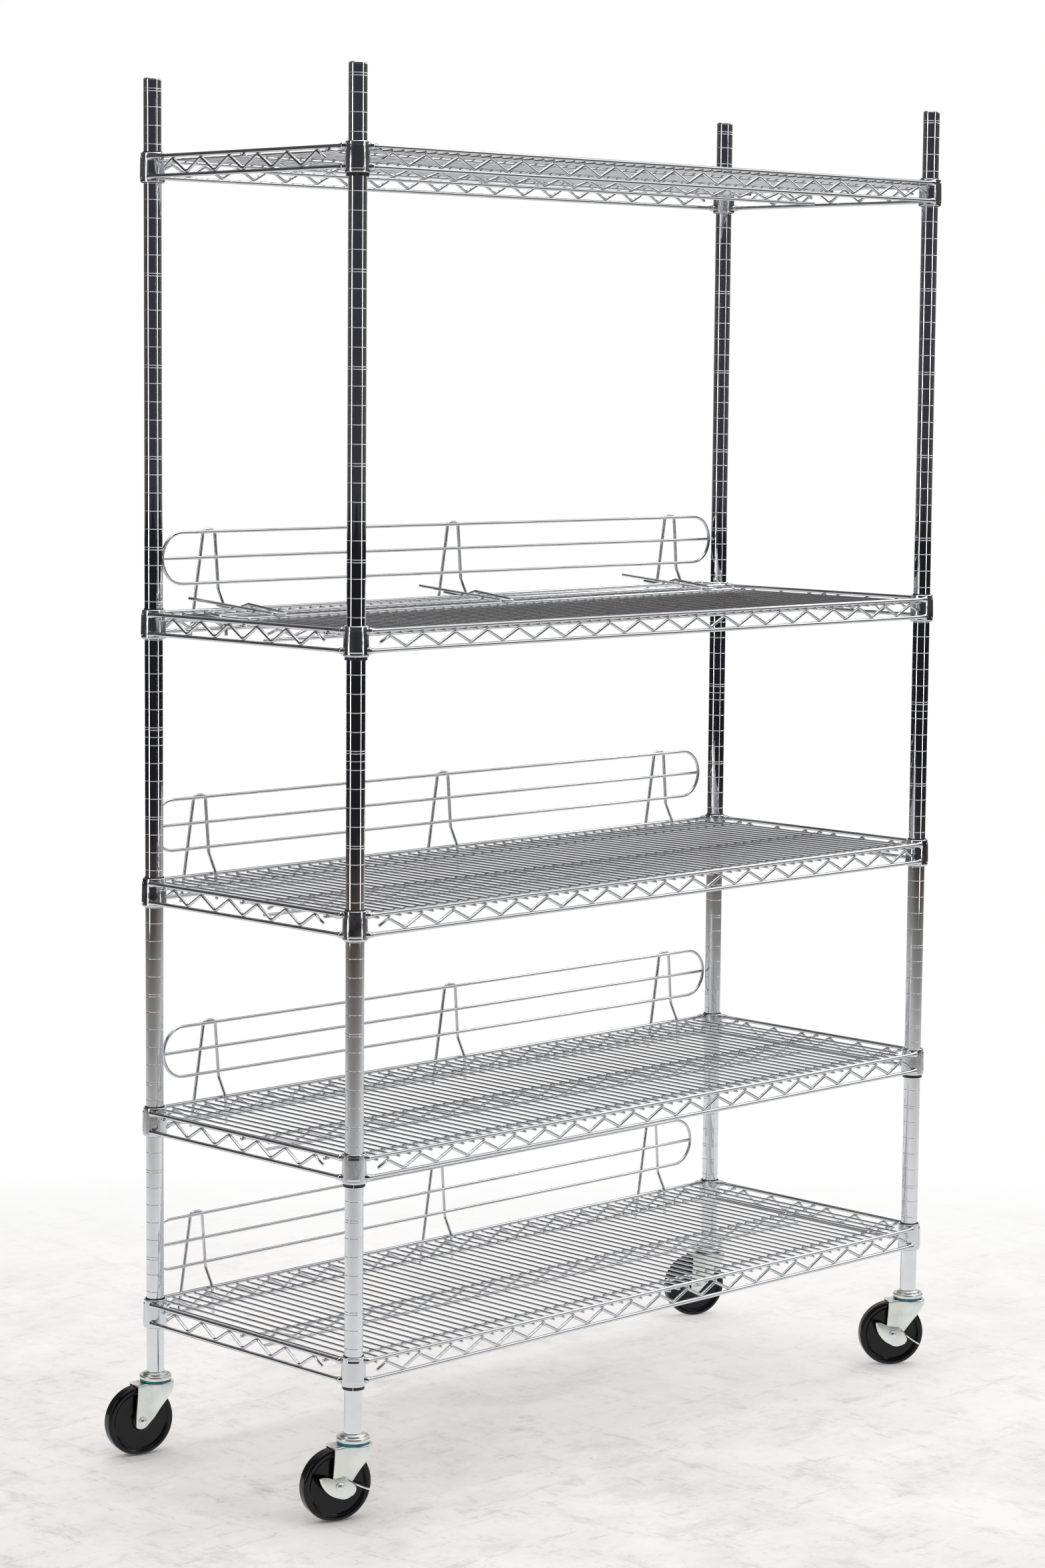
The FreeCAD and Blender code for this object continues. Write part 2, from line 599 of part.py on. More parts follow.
def main():
    os.makedirs("parts", exist_ok=True)
    nodes, centre = build()
    for name, shape in nodes.items():
        shape.exportStep("parts/%s.step" % name)
    print("%d nodes, posts centred at x %.3f, y %.3f" % (len(nodes), -centre[0], -centre[1]))


if __name__ == "__main__":
    main()
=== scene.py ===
"""Blender model of the wire shelf cart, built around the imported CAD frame. Lengths are metres, +Z is up."""

import json
import math

import bmesh
import bpy
from mathutils import Matrix, Vector


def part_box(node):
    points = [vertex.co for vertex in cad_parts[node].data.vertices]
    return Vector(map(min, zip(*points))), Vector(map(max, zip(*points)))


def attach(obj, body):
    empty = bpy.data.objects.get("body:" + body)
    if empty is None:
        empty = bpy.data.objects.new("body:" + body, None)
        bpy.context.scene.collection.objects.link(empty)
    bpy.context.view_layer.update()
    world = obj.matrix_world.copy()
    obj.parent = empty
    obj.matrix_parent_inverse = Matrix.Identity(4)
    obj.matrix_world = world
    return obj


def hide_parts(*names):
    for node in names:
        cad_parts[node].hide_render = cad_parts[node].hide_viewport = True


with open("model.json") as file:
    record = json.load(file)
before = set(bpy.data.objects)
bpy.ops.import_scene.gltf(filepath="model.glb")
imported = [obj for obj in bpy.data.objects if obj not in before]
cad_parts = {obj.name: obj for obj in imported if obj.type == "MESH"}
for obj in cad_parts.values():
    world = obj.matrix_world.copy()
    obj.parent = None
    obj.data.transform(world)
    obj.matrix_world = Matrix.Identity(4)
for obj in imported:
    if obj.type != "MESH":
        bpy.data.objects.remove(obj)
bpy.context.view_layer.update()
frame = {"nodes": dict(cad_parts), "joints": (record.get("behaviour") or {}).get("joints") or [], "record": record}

MM = 0.001
Z = Vector((0, 0, 1))
FULL_TURN = 2 * math.pi
CORNERS = ("front_left", "front_right", "back_left", "back_right")
BRAKED = ("front_left", "front_right")
TIERS = (1, 2, 3, 4, 5)


def in_mm(points):
    return [(a * MM, b * MM) for a, b in points]


# ---- sizes shared with the CAD ----
POST_RADIUS = 12.7 * MM
POST_WALL = 1.2 * MM
POST_EDGE = 0.4 * MM
GROOVE_PITCH = 25.4 * MM
GROOVE_COUNT = 70
DOUBLE_EVERY = 5
DOUBLE_DROP = 3.5 * MM
GROOVE_MOUTH = 0.55 * MM
GROOVE_DEPTH = 0.32 * MM
# (height over the half width, depth over the full depth) of the points across a rolled groove
GROOVE_FORM = ((-1.3, 0.0), (-1.0, 0.0), (-0.84, 0.1), (-0.6, 0.52), (-0.3, 0.92), (0.0, 1.0),
               (0.3, 0.92), (0.6, 0.52), (0.84, 0.1), (1.0, 0.0), (1.3, 0.0))
FIRST_GROOVE_BELOW_TOP = 15 * MM
CAP_HEIGHT = 3 * MM
CAP_EDGE = 2.4 * MM
CAP_DOME = 0.35 * MM
CAP_CHAMFER = 0.15 * MM
PLUG_RADIUS = POST_RADIUS - 1.3 * MM
PLUG_LENGTH = 9 * MM

RIM_WIRE = 6 * MM
DECK_WIRE = 3.4 * MM
LACING_WIRE = 4.5 * MM
TRUSS_WIRE = 5 * MM
LEDGE_WIRE = 4.6 * MM
BRACKET_WIRE = 4.5 * MM
WELD_BITE = 0.3 * MM
RIM_OFFSET = 15 * MM
WIRE_SHORT = 9 * MM
TRUSS_SHORT = 22 * MM
RIM_TOP = -6.5 * MM
RIM_BOTTOM = -33.3 * MM
DECK_PITCH = 20 * MM
DECK_COUNT = 59
DECK_PROUD = 3 * MM
DECK_SHORT_END = 24 * MM
SUPPORT_ROW = 173.5 * MM
SUPPORT_BEND = 8 * MM
LACING_PITCH = 60 * MM
LACING_PEAKS_X = 19
LACING_PEAKS_Y = 6
LACING_STUB = 17.5 * MM
LACING_BEND = 6 * MM
LACING_ROUNDS = 5

LEDGE_HALF_LENGTH = 569 * MM
LEDGE_BOTTOM = 33 * MM
LEDGE_PITCH = 36.5 * MM
BRACKET_PITCH = 480 * MM
BRACKET_STEP = 12 * MM
BRACKET_BEND = 7.5 * MM
BRACKET_FOOT = -44 * MM
BRACKET_TOP = LEDGE_BOTTOM + 2 * LEDGE_PITCH + 3 * MM
# (mm from its middle, steps away from the loop, height) of a bracket's corners
BRACKET_CORNERS = ((-35, 0, BRACKET_FOOT), (-10.3, 0, BRACKET_TOP), (10.3, 0, BRACKET_TOP),
                   (17, 0, 24 * MM), (20, -1, -4 * MM), (22, -1, BRACKET_FOOT))
SPARE_SLOPE = 6.2
SPARE_YAW = 4.2

# Outlines in mm of (radius, height), from the collar's top, for the collars and sleeves
COLLAR = ((14.15, -2.5), (14.1, 0), (15.7, 0), (16.4, -0.9), (16.65, -8), (17.0, -20), (17.3, -34),
          (17.4, -38.4), (16.9, -40.4), (16.3, -41), (15.6, -41), (15.4, -39.5))
SLEEVE = ((12.73, -41.5), (15.1, -41.5), (15.28, -41), (13.9, 1.1), (13.7, 1.5), (12.73, 1.5), (12.73, -41.5))
SLEEVE_DROP = 4 * MM
SLEEVE_GAP = 2.0
# (distance from the post's axis, radius) in mm along a weld bead
BEAD = ((7.6, 0.9), (8.6, 3.4), (10.2, 4.5), (12.0, 4.75), (13.8, 4.45), (15.4, 4.0), (17.0, 3.75),
        (19.0, 3.45), (20.6, 3.2), (22.0, 2.9))
PAD_HALF_ANGLE = math.radians(32.0)
PAD_MIDDLE = math.radians(225.0)
PAD_TOP = -4.5
PAD_LENGTH = 32.0
PAD_BASE = 16.45 * MM
PAD_TAPER = 0.75 * MM
PAD_RISE = 0.85 * MM
PAD_INNER = 0.93

WHEEL_RADIUS = 50.8 * MM
TYRE_EDGE = 4.6 * MM
# (radius, half width) in mm from the wheel's bore to its tyre
WHEEL = ((6.1, 11.9), (12.2, 12.0), (13.2, 10.6), (14.6, 7.4), (17.5, 6.2), (30.0, 5.9), (39.5, 6.3),
         (41.6, 7.7), (42.6, 9.3), (45.2, 10.0))
TRAIL = 27 * MM
FORK_TOP = 105 * MM
FORK_BACK = 34.3 * MM
FORK_HALF = 15 * MM
FORK_SHEET = 2.5 * MM
FORK_BEND = 2.2 * MM
FORK_ROUND = 26.5 * MM
LEG_REACH = 10.4 * MM
LEG_TURN = math.radians(215.0)
LEG_EDGE = ((-26.5, 97), (-18.5, 95), (-10, 80), (8, 56))
LEG_FLARE = 3.1 * MM
FLARE_START = 10 * MM
BRAKE_GAP = 0.2 * MM
BRAKE_SHEET = 2 * MM
BRAKE_TAB = 9 * MM
BALL_RADIUS = 3 * MM
BALL_CIRCLE = 16 * MM
BALL_COUNT = 12
# Outlines in mm of (radius, height) about the caster's stem
RACE = ((5.3, 106.2), (8.8, 106.4), (9.2, 109.4), (12.2, 111.0), (19.6, 111.0), (21.6, 110.3),
        (22.7, 109.9), (22.75, 108.5), (23.25, 108.6), (23.28, 112.4), (22.6, 114.2), (21.4, 114.7),
        (20.2, 114.1), (19.2, 113.5), (18.2, 114.3), (17.4, 116.2), (16.2, 117.7), (14.6, 118.5),
        (13.2, 118.9), (5.3, 118.9))
STEM = ((0, 149.9), (5.2, 149.9), (5.85, 149.2), (5.85, 119.2), (4.95, 119.1), (4.95, 102.2), (7.9, 102.1),
        (7.9, 100.9), (7.2, 99.9), (5.0, 99.45), (0, 99.4))
SEAL = ((19.6, 105.45), (21.9, 105.45), (22.55, 106.2), (22.55, 107.0), (22.2, 107.4), (22.55, 107.9),
        (22.5, 109.1), (21.8, 109.85), (19.6, 109.85), (19.6, 105.45))

# ---- sides of the round forms ----
DECK_SIDES, WIRE_SIDES, TRUSS_SIDES, RIM_SIDES, BEAD_SIDES, BALL_SIDES = 12, 14, 16, 18, 20, 20
BOLT_SIDES, SLEEVE_SIDES, HEX_SIDES, POST_SIDES = 40, 44, 48, 64
COLLAR_SIDES, RACE_SIDES, WHEEL_SIDES = 72, 72, 128

# ---- camera, floor and lights ----
CAMERA_YAW, CAMERA_PITCH, CAMERA_ROLL = math.radians(44.47), math.radians(-6.31), math.radians(0.49)
CAMERA_FROM_POST = Vector((-3.287, -3.666, 1.432))
CAMERA_LENS = 85.26
AHEAD = Vector((math.sin(CAMERA_YAW), math.cos(CAMERA_YAW), 0))
STAGE_SIZE = 30.0
FADE_BEHIND = (0.5, 2.2)
# Painted light: distances towards the camera's right over which the floor glows up to half white
LIGHT_FADE_BESIDE = (0.5, 2.0)
FLOOR_STAIN = ((0.34, (0.80, 0.775, 0.755)), (0.56, (0.935, 0.92, 0.905)))
# Painted light on the floor: full white round the cart's middle, a little darker further out
FLOOR_LIGHT_FALLOFF = ((0.0, (1, 1, 1)), (0.6, (0.86, 0.86, 0.865)), (1.0, (0.83, 0.83, 0.835)))
MARK_TINT = (0.44, 0.35, 0.30)
MARK_SOFTNESS = 0.07
# (cycles per metre, stretch, threshold, tone, strength) of the floor's scuffs, scratches and chips
FLOOR_MARKS = ((5.0, (0.6, 1, 1), 0.40, 1.0, 0.16), (14.0, (1, 0.4, 1), 0.39, 0.95, 0.22),
               (24.0, (0.25, 1, 1), 0.375, 0.9, 0.26), (38.0, (1, 0.25, 1), 0.365, 0.85, 0.26),
               (80.0, (1, 0.6, 1), 0.355, 0.75, 0.32))
# Floor as the chrome sees it, from a spot behind the cart outwards
GLOW_BEHIND = 0.8
GLOW_REACH = 10.0
FLOOR_GLOW = ((0.0, (0.86, 0.86, 0.86)), (0.20, (0.82, 0.82, 0.82)), (0.29, (0.66, 0.66, 0.66)),
              (0.44, (0.30, 0.29, 0.28)), (0.62, (0.10, 0.08, 0.07)), (0.82, (0.022, 0.021, 0.024)),
              (1.0, (0.014, 0.014, 0.018)))
# Room as the chrome sees it, from the camera's side to behind the cart
WORLD_ROOM = ((0.0, (0.042, 0.043, 0.054)), (0.45, (0.060, 0.058, 0.062)), (0.70, (0.095, 0.088, 0.088)),
              (0.80, (0.11, 0.095, 0.09)), (0.90, (0.16, 0.145, 0.135)), (0.97, (0.85, 0.85, 0.85)))
SIDE_GLOW = Vector((0.69, -0.28, 0.66))
SIDE_SPAN = (0.82, 0.93)
SIDE_COLOUR = (1.15, 1.15, 1.15)
OVERHEAD_SPAN = (0.84, 0.92)
OVERHEAD_COLOUR = (1.4, 1.4, 1.4)
DIFFUSE_COLOUR = (0.86, 0.85, 0.84)
WHITE = (1.0, 1.0, 1.0)

# ---- levels that follow from them, from a collar's top ----
DECK_LEVEL = RIM_TOP - RIM_WIRE / 2 - DECK_WIRE / 2 + WELD_BITE
SUPPORT_LEVEL = DECK_LEVEL - DECK_WIRE / 2 - LACING_WIRE / 2 + WELD_BITE
UNDER_RIM_LEVEL = RIM_TOP - RIM_WIRE / 2 - LACING_WIRE / 2 + WELD_BITE
LACING_FLOOR = RIM_BOTTOM + RIM_WIRE / 2 + LACING_WIRE / 2 - WELD_BITE
CHORD_LEVEL = LACING_FLOOR - LACING_WIRE / 2 - TRUSS_WIRE / 2 + WELD_BITE


def post_xy(corner):
    low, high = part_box("lower_post_" + corner)
    return (low.x + high.x) / 2, (low.y + high.y) / 2


POSTS = {corner: post_xy(corner) for corner in CORNERS}
MIDDLE = Vector((sum(x for x, _ in POSTS.values()) / 4, sum(y for _, y in POSTS.values()) / 4, 0))
HALF_X = (POSTS["front_right"][0] - POSTS["front_left"][0]) / 2
HALF_Y = (POSTS["back_left"][1] - POSTS["front_left"][1]) / 2
RIM_X, RIM_Y = HALF_X + RIM_OFFSET, HALF_Y + RIM_OFFSET
TOP_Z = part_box("post_caps")[1].z
FIRST_GROOVE_Z = TOP_Z - FIRST_GROOVE_BELOW_TOP
JOINTS = {joint["name"]: joint for joint in frame["joints"]}
SLOTS = {part["node"]: part["material_slot"] for part in frame["record"]["subparts"]}
# Degrees about Z that turn the collar made for the front-left corner to each corner
CORNER_TURNS = {"front_left": 0, "front_right": 90, "back_left": 270, "back_right": 180}
# Tiers whose sleeve has slipped low and shows below the collar
LOW_SLEEVES = {"front_left": (1, 2, 4, 5), "front_right": (4,), "back_left": (), "back_right": (2,)}


def tier_top(tier):
    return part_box("shelf_%d_collars" % tier)[1].z


def post_place(corner, z=0.0):
    return Matrix.Translation((*POSTS[corner], z))


def turn_about(degrees, axis):
    return Matrix.Rotation(math.radians(degrees), 4, axis)


# ---- mesh building ----
class Shape:
    """Vertices and faces gathered for one piece."""

    def __init__(self):
        self.verts = []
        self.faces = []

    def ring(self, points):
        start = len(self.verts)
        self.verts.extend(points)
        return list(range(start, start + len(points)))

    def bridge(self, low, high):
        count = len(low)
        for i in range(count):
            j = (i + 1) % count
            self.faces.append((low[i], low[j], high[j], high[i]))

    def cap(self, ring, flip=False):
        self.faces.append(tuple(reversed(ring)) if flip else tuple(ring))

    def place(self, matrix):
        self.verts = [matrix @ v for v in self.verts]
        return self

    def add(self, other, matrix=None):
        start = len(self.verts)
        self.verts.extend((matrix @ v if matrix else v) for v in other.verts)
        self.faces.extend(tuple(i + start for i in face) for face in other.faces)
        return self

    def mesh(self, name):
        mesh = bpy.data.meshes.new(name)
        mesh.from_pydata([tuple(v) for v in self.verts], [], self.faces)
        return mesh


def circle(centre, side, up, radius, sides):
    turns = [FULL_TURN * i / sides for i in range(sides)]
    return [centre + side * (radius * math.cos(a)) + up * (radius * math.sin(a)) for a in turns]


def held(path, gap, closed):
    """The path with a point just inside both ends of each long straight, which keeps its shading straight."""
    route = []
    for start, end in zip(path, path[1:] + path[:1] if closed else path[1:]):
        route.append(start)
        run = end - start
        if run.length > 8 * gap:
            route += [start + run.normalized() * gap, end - run.normalized() * gap]
    return route if closed else route + [path[-1]]


def swept(path, radius, sides=WIRE_SIDES, radii=None, closed=False, rounding=0.3):
    """Round bar along a path, its cut ends slightly rounded. radii scales the radius at each point."""
    if radii is None:
        path = held(path, radius, closed)
    count = len(path)
    tangents = []
    for i in range(count):
        before = path[i - 1] if i or closed else path[0]
        after = path[(i + 1) % count] if i < count - 1 or closed else path[-1]
        tangents.append((after - before).normalized())
    side = tangents[0].orthogonal().normalized()
    rings = []
    for i in range(count):
        if i:
            side = tangents[i - 1].rotation_difference(tangents[i]) @ side
        side = (side - tangents[i] * side.dot(tangents[i])).normalized()
        scale = radii[i] if radii else 1.0
        rings.append((path[i], side, tangents[i].cross(side), radius * scale))
    if not closed:
        tips = []
        for end, inwards in ((0, tangents[0]), (-1, -tangents[-1])):
            at, across, up, r = rings[end]
            rings[end] = (at + inwards * (r * rounding), across, up, r)
            tips.append((at, across, up, r * (1 - rounding)))
        rings = tips[:1] + rings + tips[1:]
    shape = Shape()
    made = [shape.ring(circle(*ring, sides)) for ring in rings]
    for low, high in zip(made, made[1:]):
        shape.bridge(low, high)
    if closed:
        joint = shape.verts[made[-1][0]]
        twist = min(range(sides), key=lambda i: (joint - shape.verts[made[0][i]]).length)
        shape.bridge(made[-1], made[0][twist:] + made[0][:twist])
    else:
        shape.cap(made[0], flip=True)
        shape.cap(made[-1])
    return shape


def rounded(points, bend, steps):
    """The route's points with each corner replaced by an arc."""
    route = [points[0]]
    for before, corner, after in zip(points, points[1:], points[2:]):
        back = (before - corner).normalized()
        ahead = (after - corner).normalized()
        half_turn = (math.pi - back.angle(ahead)) / 2
        middle = (back + ahead).normalized()
        centre = corner + middle * (bend / math.cos(half_turn))
        across = (ahead - back).normalized()
        for step in range(steps + 1):
            turn = -half_turn + 2 * half_turn * step / steps
            route.append(centre - middle * (bend * math.cos(turn)) + across * (bend * math.sin(turn)))
    route.append(points[-1])
    return route


def turned(profile, sides, sweep=FULL_TURN, start=0.0):
    """Solid turned about Z from an open outline of (radius, z), or a closed one that ends at its start."""
    shape = Shape()
    full = sweep == FULL_TURN
    looped = profile[0] == profile[-1]
    outline = profile[:-1] if looped else profile
    steps = sides if full else sides + 1
    rings = []
    for radius, z in outline:
        if radius == 0:
            rings.append(shape.ring([Vector((0, 0, z))]))
            continue
        turns = [start + sweep * i / sides for i in range(steps)]
        rings.append(shape.ring([Vector((radius * math.cos(a), radius * math.sin(a), z)) for a in turns]))
    pairs = list(zip(rings, rings[1:])) + ([(rings[-1], rings[0])] if looped else [])
    for a, b in pairs:
        for i in range(sides):
            j = (i + 1) % steps
            if len(a) == 1:
                shape.faces.append((a[0], b[j], b[i]))
            elif len(b) == 1:
                shape.faces.append((a[i], a[j], b[0]))
            else:
                shape.faces.append((a[i], a[j], b[j], b[i]))
    if looped and not full:
        shape.cap([ring[0] for ring in rings])
        shape.cap([ring[-1] for ring in rings], flip=True)
    return shape


def arc(centre, radius, first, last, steps):
    """(a, b) points of an arc between two angles in degrees."""
    points = []
    for i in range(steps + 1):
        turn = math.radians(first + (last - first) * i / steps)
        points.append((centre[0] + radius * math.cos(turn), centre[1] + radius * math.sin(turn)))
    return points


def at_corners(source, place):
    """The source at all four corners, laid by place."""
    shape = Shape()
    for corner in CORNERS:
        shape.add(source, place(corner))
    return shape


def new_object(name, data):
    obj = bpy.data.objects.new(name, data)
    bpy.context.scene.collection.objects.link(obj)
    return obj


def finish_piece(shape, name, node, smooth_angle, body="cart", material=None):
    """Mesh object from a shape. It rides on a CAD body, and stands for a CAD node and takes its slot."""
    mesh = shape.mesh(name)
    mesh.validate()
    bm = bmesh.new()
    bm.from_mesh(mesh)
    bmesh.ops.recalc_face_normals(bm, faces=bm.faces)
    bm.to_mesh(mesh)
    bm.free()
    mesh.polygons.foreach_set("use_smooth", [True] * len(mesh.polygons))
    mesh.set_sharp_from_angle(angle=math.radians(smooth_angle))
    slot = SLOTS[node]
    mesh.materials.append(MATERIALS[material or slot])
    obj = new_object(name, mesh)
    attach(obj, body)
    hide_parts(node)


# ---- materials ----
class Graph:
    """Nodes of one material or world. Most calls give the socket that holds their result."""

    def __init__(self, owner):
        owner.use_nodes = True
        self.nodes, self.link = owner.node_tree.nodes, owner.node_tree.links.new

    def add(self, kind, values, wires):
        """New node with values set on its sockets and links into them."""
        node = self.nodes.new(kind)
        for socket, value in values.items():
            node.inputs[socket].default_value = value
        for socket, source in wires.items():
            self.link(source, node.inputs[socket])
        return node

    def noise(self, scale, detail, stretch=(1, 1, 1), roughness=0.5):
        """Noise in the piece's own space, in cycles per metre."""
        point = self.nodes.new("ShaderNodeTexCoord").outputs["Object"]
        mapping = self.add("ShaderNodeMapping", {"Scale": stretch}, {"Vector": point})
        values = {"Scale": scale, "Detail": detail, "Roughness": roughness}
        return self.add("ShaderNodeTexNoise", values, {"Vector": mapping.outputs["Vector"]}).outputs["Fac"]

    def ramp(self, source, stops):
        node = self.add("ShaderNodeValToRGB", {}, {"Fac": source})
        elements = node.color_ramp.elements
        while len(elements) < len(stops):
            elements.new(0.5)
        for element, (position, colour) in zip(elements, stops):
            element.position = position
            element.color = (*colour, 1)
        return node.outputs["Color"]

    def ranged(self, source, low, high, start=0.35, end=0.65):
        values = {"From Min": start, "From Max": end, "To Min": low, "To Max": high}
        return self.add("ShaderNodeMapRange", values, {"Value": source}).outputs["Result"]

    def bump(self, source, strength, distance):
        node = self.add("ShaderNodeBump", {"Strength": strength, "Distance": distance}, {"Height": source})
        self.link(node.outputs["Normal"], self.nodes["Principled BSDF"].inputs["Normal"])

    def vector(self, operation, source, value):
        """Outputs of a vector operation on a socket and a constant."""
        node = self.add("ShaderNodeVectorMath", {1: value}, {0: source})
        node.operation = operation
        return node.outputs

    def mix(self, blend, base):
        node = self.nodes.new("ShaderNodeMix")
        node.data_type = "RGBA"
        node.blend_type = blend
        self.link(base, node.inputs["A"])
        return node.inputs, node.outputs["Result"]

    def multiplied(self, base, layer, factor):
        sockets, result = self.mix("MULTIPLY", base)
        sockets["Factor"].default_value = factor
        self.link(layer, sockets["B"])
        return result

    def covered(self, base, colour, factor):
        """The base, with a colour in its place where the factor is 1."""
        sockets, result = self.mix("MIX", base)
        sockets["B"].default_value = (*colour, 1)
        self.link(factor, sockets["Factor"])
        return result


def new_material(name):
    """A material, its graph and its shader's sockets."""
    material = bpy.data.materials.new(name)
    graph = Graph(material)
    return material, graph, graph.nodes["Principled BSDF"].inputs


def chrome(name, tint, smoothest, roughest, ripple, ripple_scale=9.0):
    """Chrome plate: faint polishing ripple and a thin haze that comes and goes."""
    material, graph, sockets = new_material(name)
    sockets["Metallic"].default_value = 1.0
    haze = graph.noise(28.0, 4.0)
    darker = tuple(0.93 * c for c in tint)
    graph.link(graph.ramp(haze, [(0.35, darker), (0.62, tint)]), sockets["Base Color"])
    graph.link(graph.ranged(haze, smoothest, roughest), sockets["Roughness"])
    graph.bump(graph.noise(ripple_scale, 2.0, stretch=(6, 6, 1)), ripple, 0.001)
    return material


def zinc(name):
    """Zinc-plated pressed steel: satin, with the faint yellow-green bloom of the passivation."""
    material, graph, sockets = new_material(name)
    sockets["Metallic"].default_value = 1.0
    stops = [(0.32, (0.74, 0.79, 0.76)), (0.5, (0.86, 0.89, 0.85)), (0.68, (0.90, 0.89, 0.80))]
    graph.link(graph.ramp(graph.noise(40.0, 5.0), stops), sockets["Base Color"])
    grain = graph.noise(900.0, 3.0)
    graph.link(graph.ranged(grain, 0.28, 0.42), sockets["Roughness"])
    graph.bump(grain, 0.08, 0.0005)
    return material


def plastic(name, dark, light, smoothest, roughest, grain_scale, grain_strength, specular=0.5):
    """Moulded plastic or rubber: a slow change of colour and gloss, and a fine grain."""
    material, graph, sockets = new_material(name)
    sockets["Specular IOR Level"].default_value = specular
    cloud = graph.noise(60.0, 4.0)
    graph.link(graph.ramp(cloud, [(0.35, dark), (0.7, light)]), sockets["Base Color"])
    graph.link(graph.ranged(cloud, smoothest, roughest), sockets["Roughness"])
    graph.bump(graph.noise(grain_scale, 2.0), grain_strength, 0.0003)
    return material


MATERIALS = {
    "post_chrome": chrome("post_chrome", (0.80, 0.81, 0.83), 0.025, 0.06, 0.02),
    "wire_chrome": chrome("wire_chrome", (0.74, 0.75, 0.77), 0.07, 0.16, 0.05),
    "collar_chrome": chrome("collar_chrome", (0.76, 0.77, 0.79), 0.09, 0.20, 0.22, 60.0),
    "bolt_steel": chrome("bolt_steel", (0.84, 0.86, 0.85), 0.24, 0.36, 0.08),
    "zinc_steel": zinc("zinc_steel"),
    "black_plastic": plastic("black_plastic", (0.006, 0.006, 0.007), (0.016, 0.016, 0.017), 0.42, 0.55,
                             1500.0, 0.15),
    "blue_seal": plastic("blue_seal", (0.004, 0.09, 0.14), (0.012, 0.20, 0.28), 0.14, 0.24, 300.0, 0.1),
    "wheel_rubber": plastic("wheel_rubber", (0.002, 0.002, 0.003), (0.005, 0.005, 0.007), 0.13, 0.22,
                            500.0, 0.05, specular=0.3),
}


# ---- posts ----
def groove_list():
    """Height of every groove from the top down, with a second one close below each fifth."""
    grooves = []
    for index in range(GROOVE_COUNT):
        z = FIRST_GROOVE_Z - index * GROOVE_PITCH
        grooves.append(z)
        if index % DOUBLE_EVERY == 0:
            grooves.append(z - DOUBLE_DROP)
    return grooves


def post_profile(low, high, grooves):
    """Outline from the bottom up of a grooved tube."""
    bore, shy = POST_RADIUS - POST_WALL, POST_RADIUS - POST_EDGE
    profile = [(bore, low), (shy, low), (POST_RADIUS, low + POST_EDGE), (POST_RADIUS, low + 2 * POST_EDGE)]
    for z in sorted(g for g in grooves if low < g < high):
        for share, depth in GROOVE_FORM:
            profile.append((POST_RADIUS - GROOVE_DEPTH * depth, z + GROOVE_MOUTH * share))
    profile += [(POST_RADIUS, high - 2 * POST_EDGE), (POST_RADIUS, high - POST_EDGE)]
    return profile + [(shy, high), (bore, high)]


def build_posts():
    grooves = groove_list()
    for corner in CORNERS:
        for node in ("upper_post_" + corner, "lower_post_" + corner):
            low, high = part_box(node)
            shape = turned(post_profile(low.z, high.z, grooves), POST_SIDES).place(post_place(corner))
            finish_piece(shape, node + "_tube", node, 60)


def build_post_caps():
    seat = TOP_Z - CAP_HEIGHT
    outline = [(PLUG_RADIUS, seat - PLUG_LENGTH), (PLUG_RADIUS, seat), (POST_RADIUS - CAP_CHAMFER, seat),
               (POST_RADIUS, seat + CAP_CHAMFER)]
    outline += arc((POST_RADIUS - CAP_EDGE, TOP_Z - CAP_DOME - CAP_EDGE), CAP_EDGE, 0, 82, 8)
    outline += [(POST_RADIUS * 0.45, TOP_Z - CAP_DOME * 0.3), (0, TOP_Z)]
    shape = at_corners(turned(outline, POST_SIDES), post_place)
    finish_piece(shape, "post_cap_domes", "post_caps", 40)


# ---- shelves ----
def spot(along, distance, across, z):
    """Point at a distance along x or y, and across on the other."""
    return Vector((distance, across, z) if along == "x" else (across, distance, z))


def straight(along, half, across, z):
    return [spot(along, -half, across, z), spot(along, half, across, z)]


def rim_shape():
    shape = Shape()
    for level in (RIM_TOP, RIM_BOTTOM):
        for side in (-1, 1):
            shape.add(swept(straight("x", HALF_X - WIRE_SHORT, side * RIM_Y, level), RIM_WIRE / 2, RIM_SIDES))
            shape.add(swept(straight("y", HALF_Y - WIRE_SHORT, side * RIM_X, level), RIM_WIRE / 2, RIM_SIDES))
    return shape


def zigzag(count, crest, along, across):
    """Lacing wire with so many peaks, whose rounded bends just reach the crest and the lacing's floor."""
    first = -LACING_PITCH * (count - 1) / 2
    high, low = crest, LACING_FLOOR
    for _ in range(LACING_ROUNDS):
        slope = math.atan2(high - low, LACING_PITCH / 2)
        rounding = LACING_BEND * (1 / math.cos(slope) - 1)
        high, low = crest + rounding, LACING_FLOOR - rounding
    drop = (high - low) * LACING_STUB / (LACING_PITCH / 2)
    route = [(first - LACING_STUB, high - drop)]
    for peak in range(count):
        route.append((first + peak * LACING_PITCH, high))
        if peak < count - 1:
            route.append((first + (peak + 0.5) * LACING_PITCH, low))
    route.append((-first + LACING_STUB, high - drop))
    points = [spot(along, s, across, z) for s, z in route]
    return swept(rounded(points, LACING_BEND, 5), LACING_WIRE / 2)


def lacing_shape():
    shape = Shape()
    for side in (-1, 1):
        shape.add(zigzag(LACING_PEAKS_X, SUPPORT_LEVEL, "x", side * RIM_Y))
        shape.add(zigzag(LACING_PEAKS_Y, UNDER_RIM_LEVEL, "y", side * RIM_X))
    shape.add(zigzag(LACING_PEAKS_X, SUPPORT_LEVEL - LACING_WIRE + WELD_BITE, "x", 0.0))
    shape.add(swept(straight("x", HALF_X - TRUSS_SHORT, 0, CHORD_LEVEL), TRUSS_WIRE / 2, TRUSS_SIDES))
    return shape


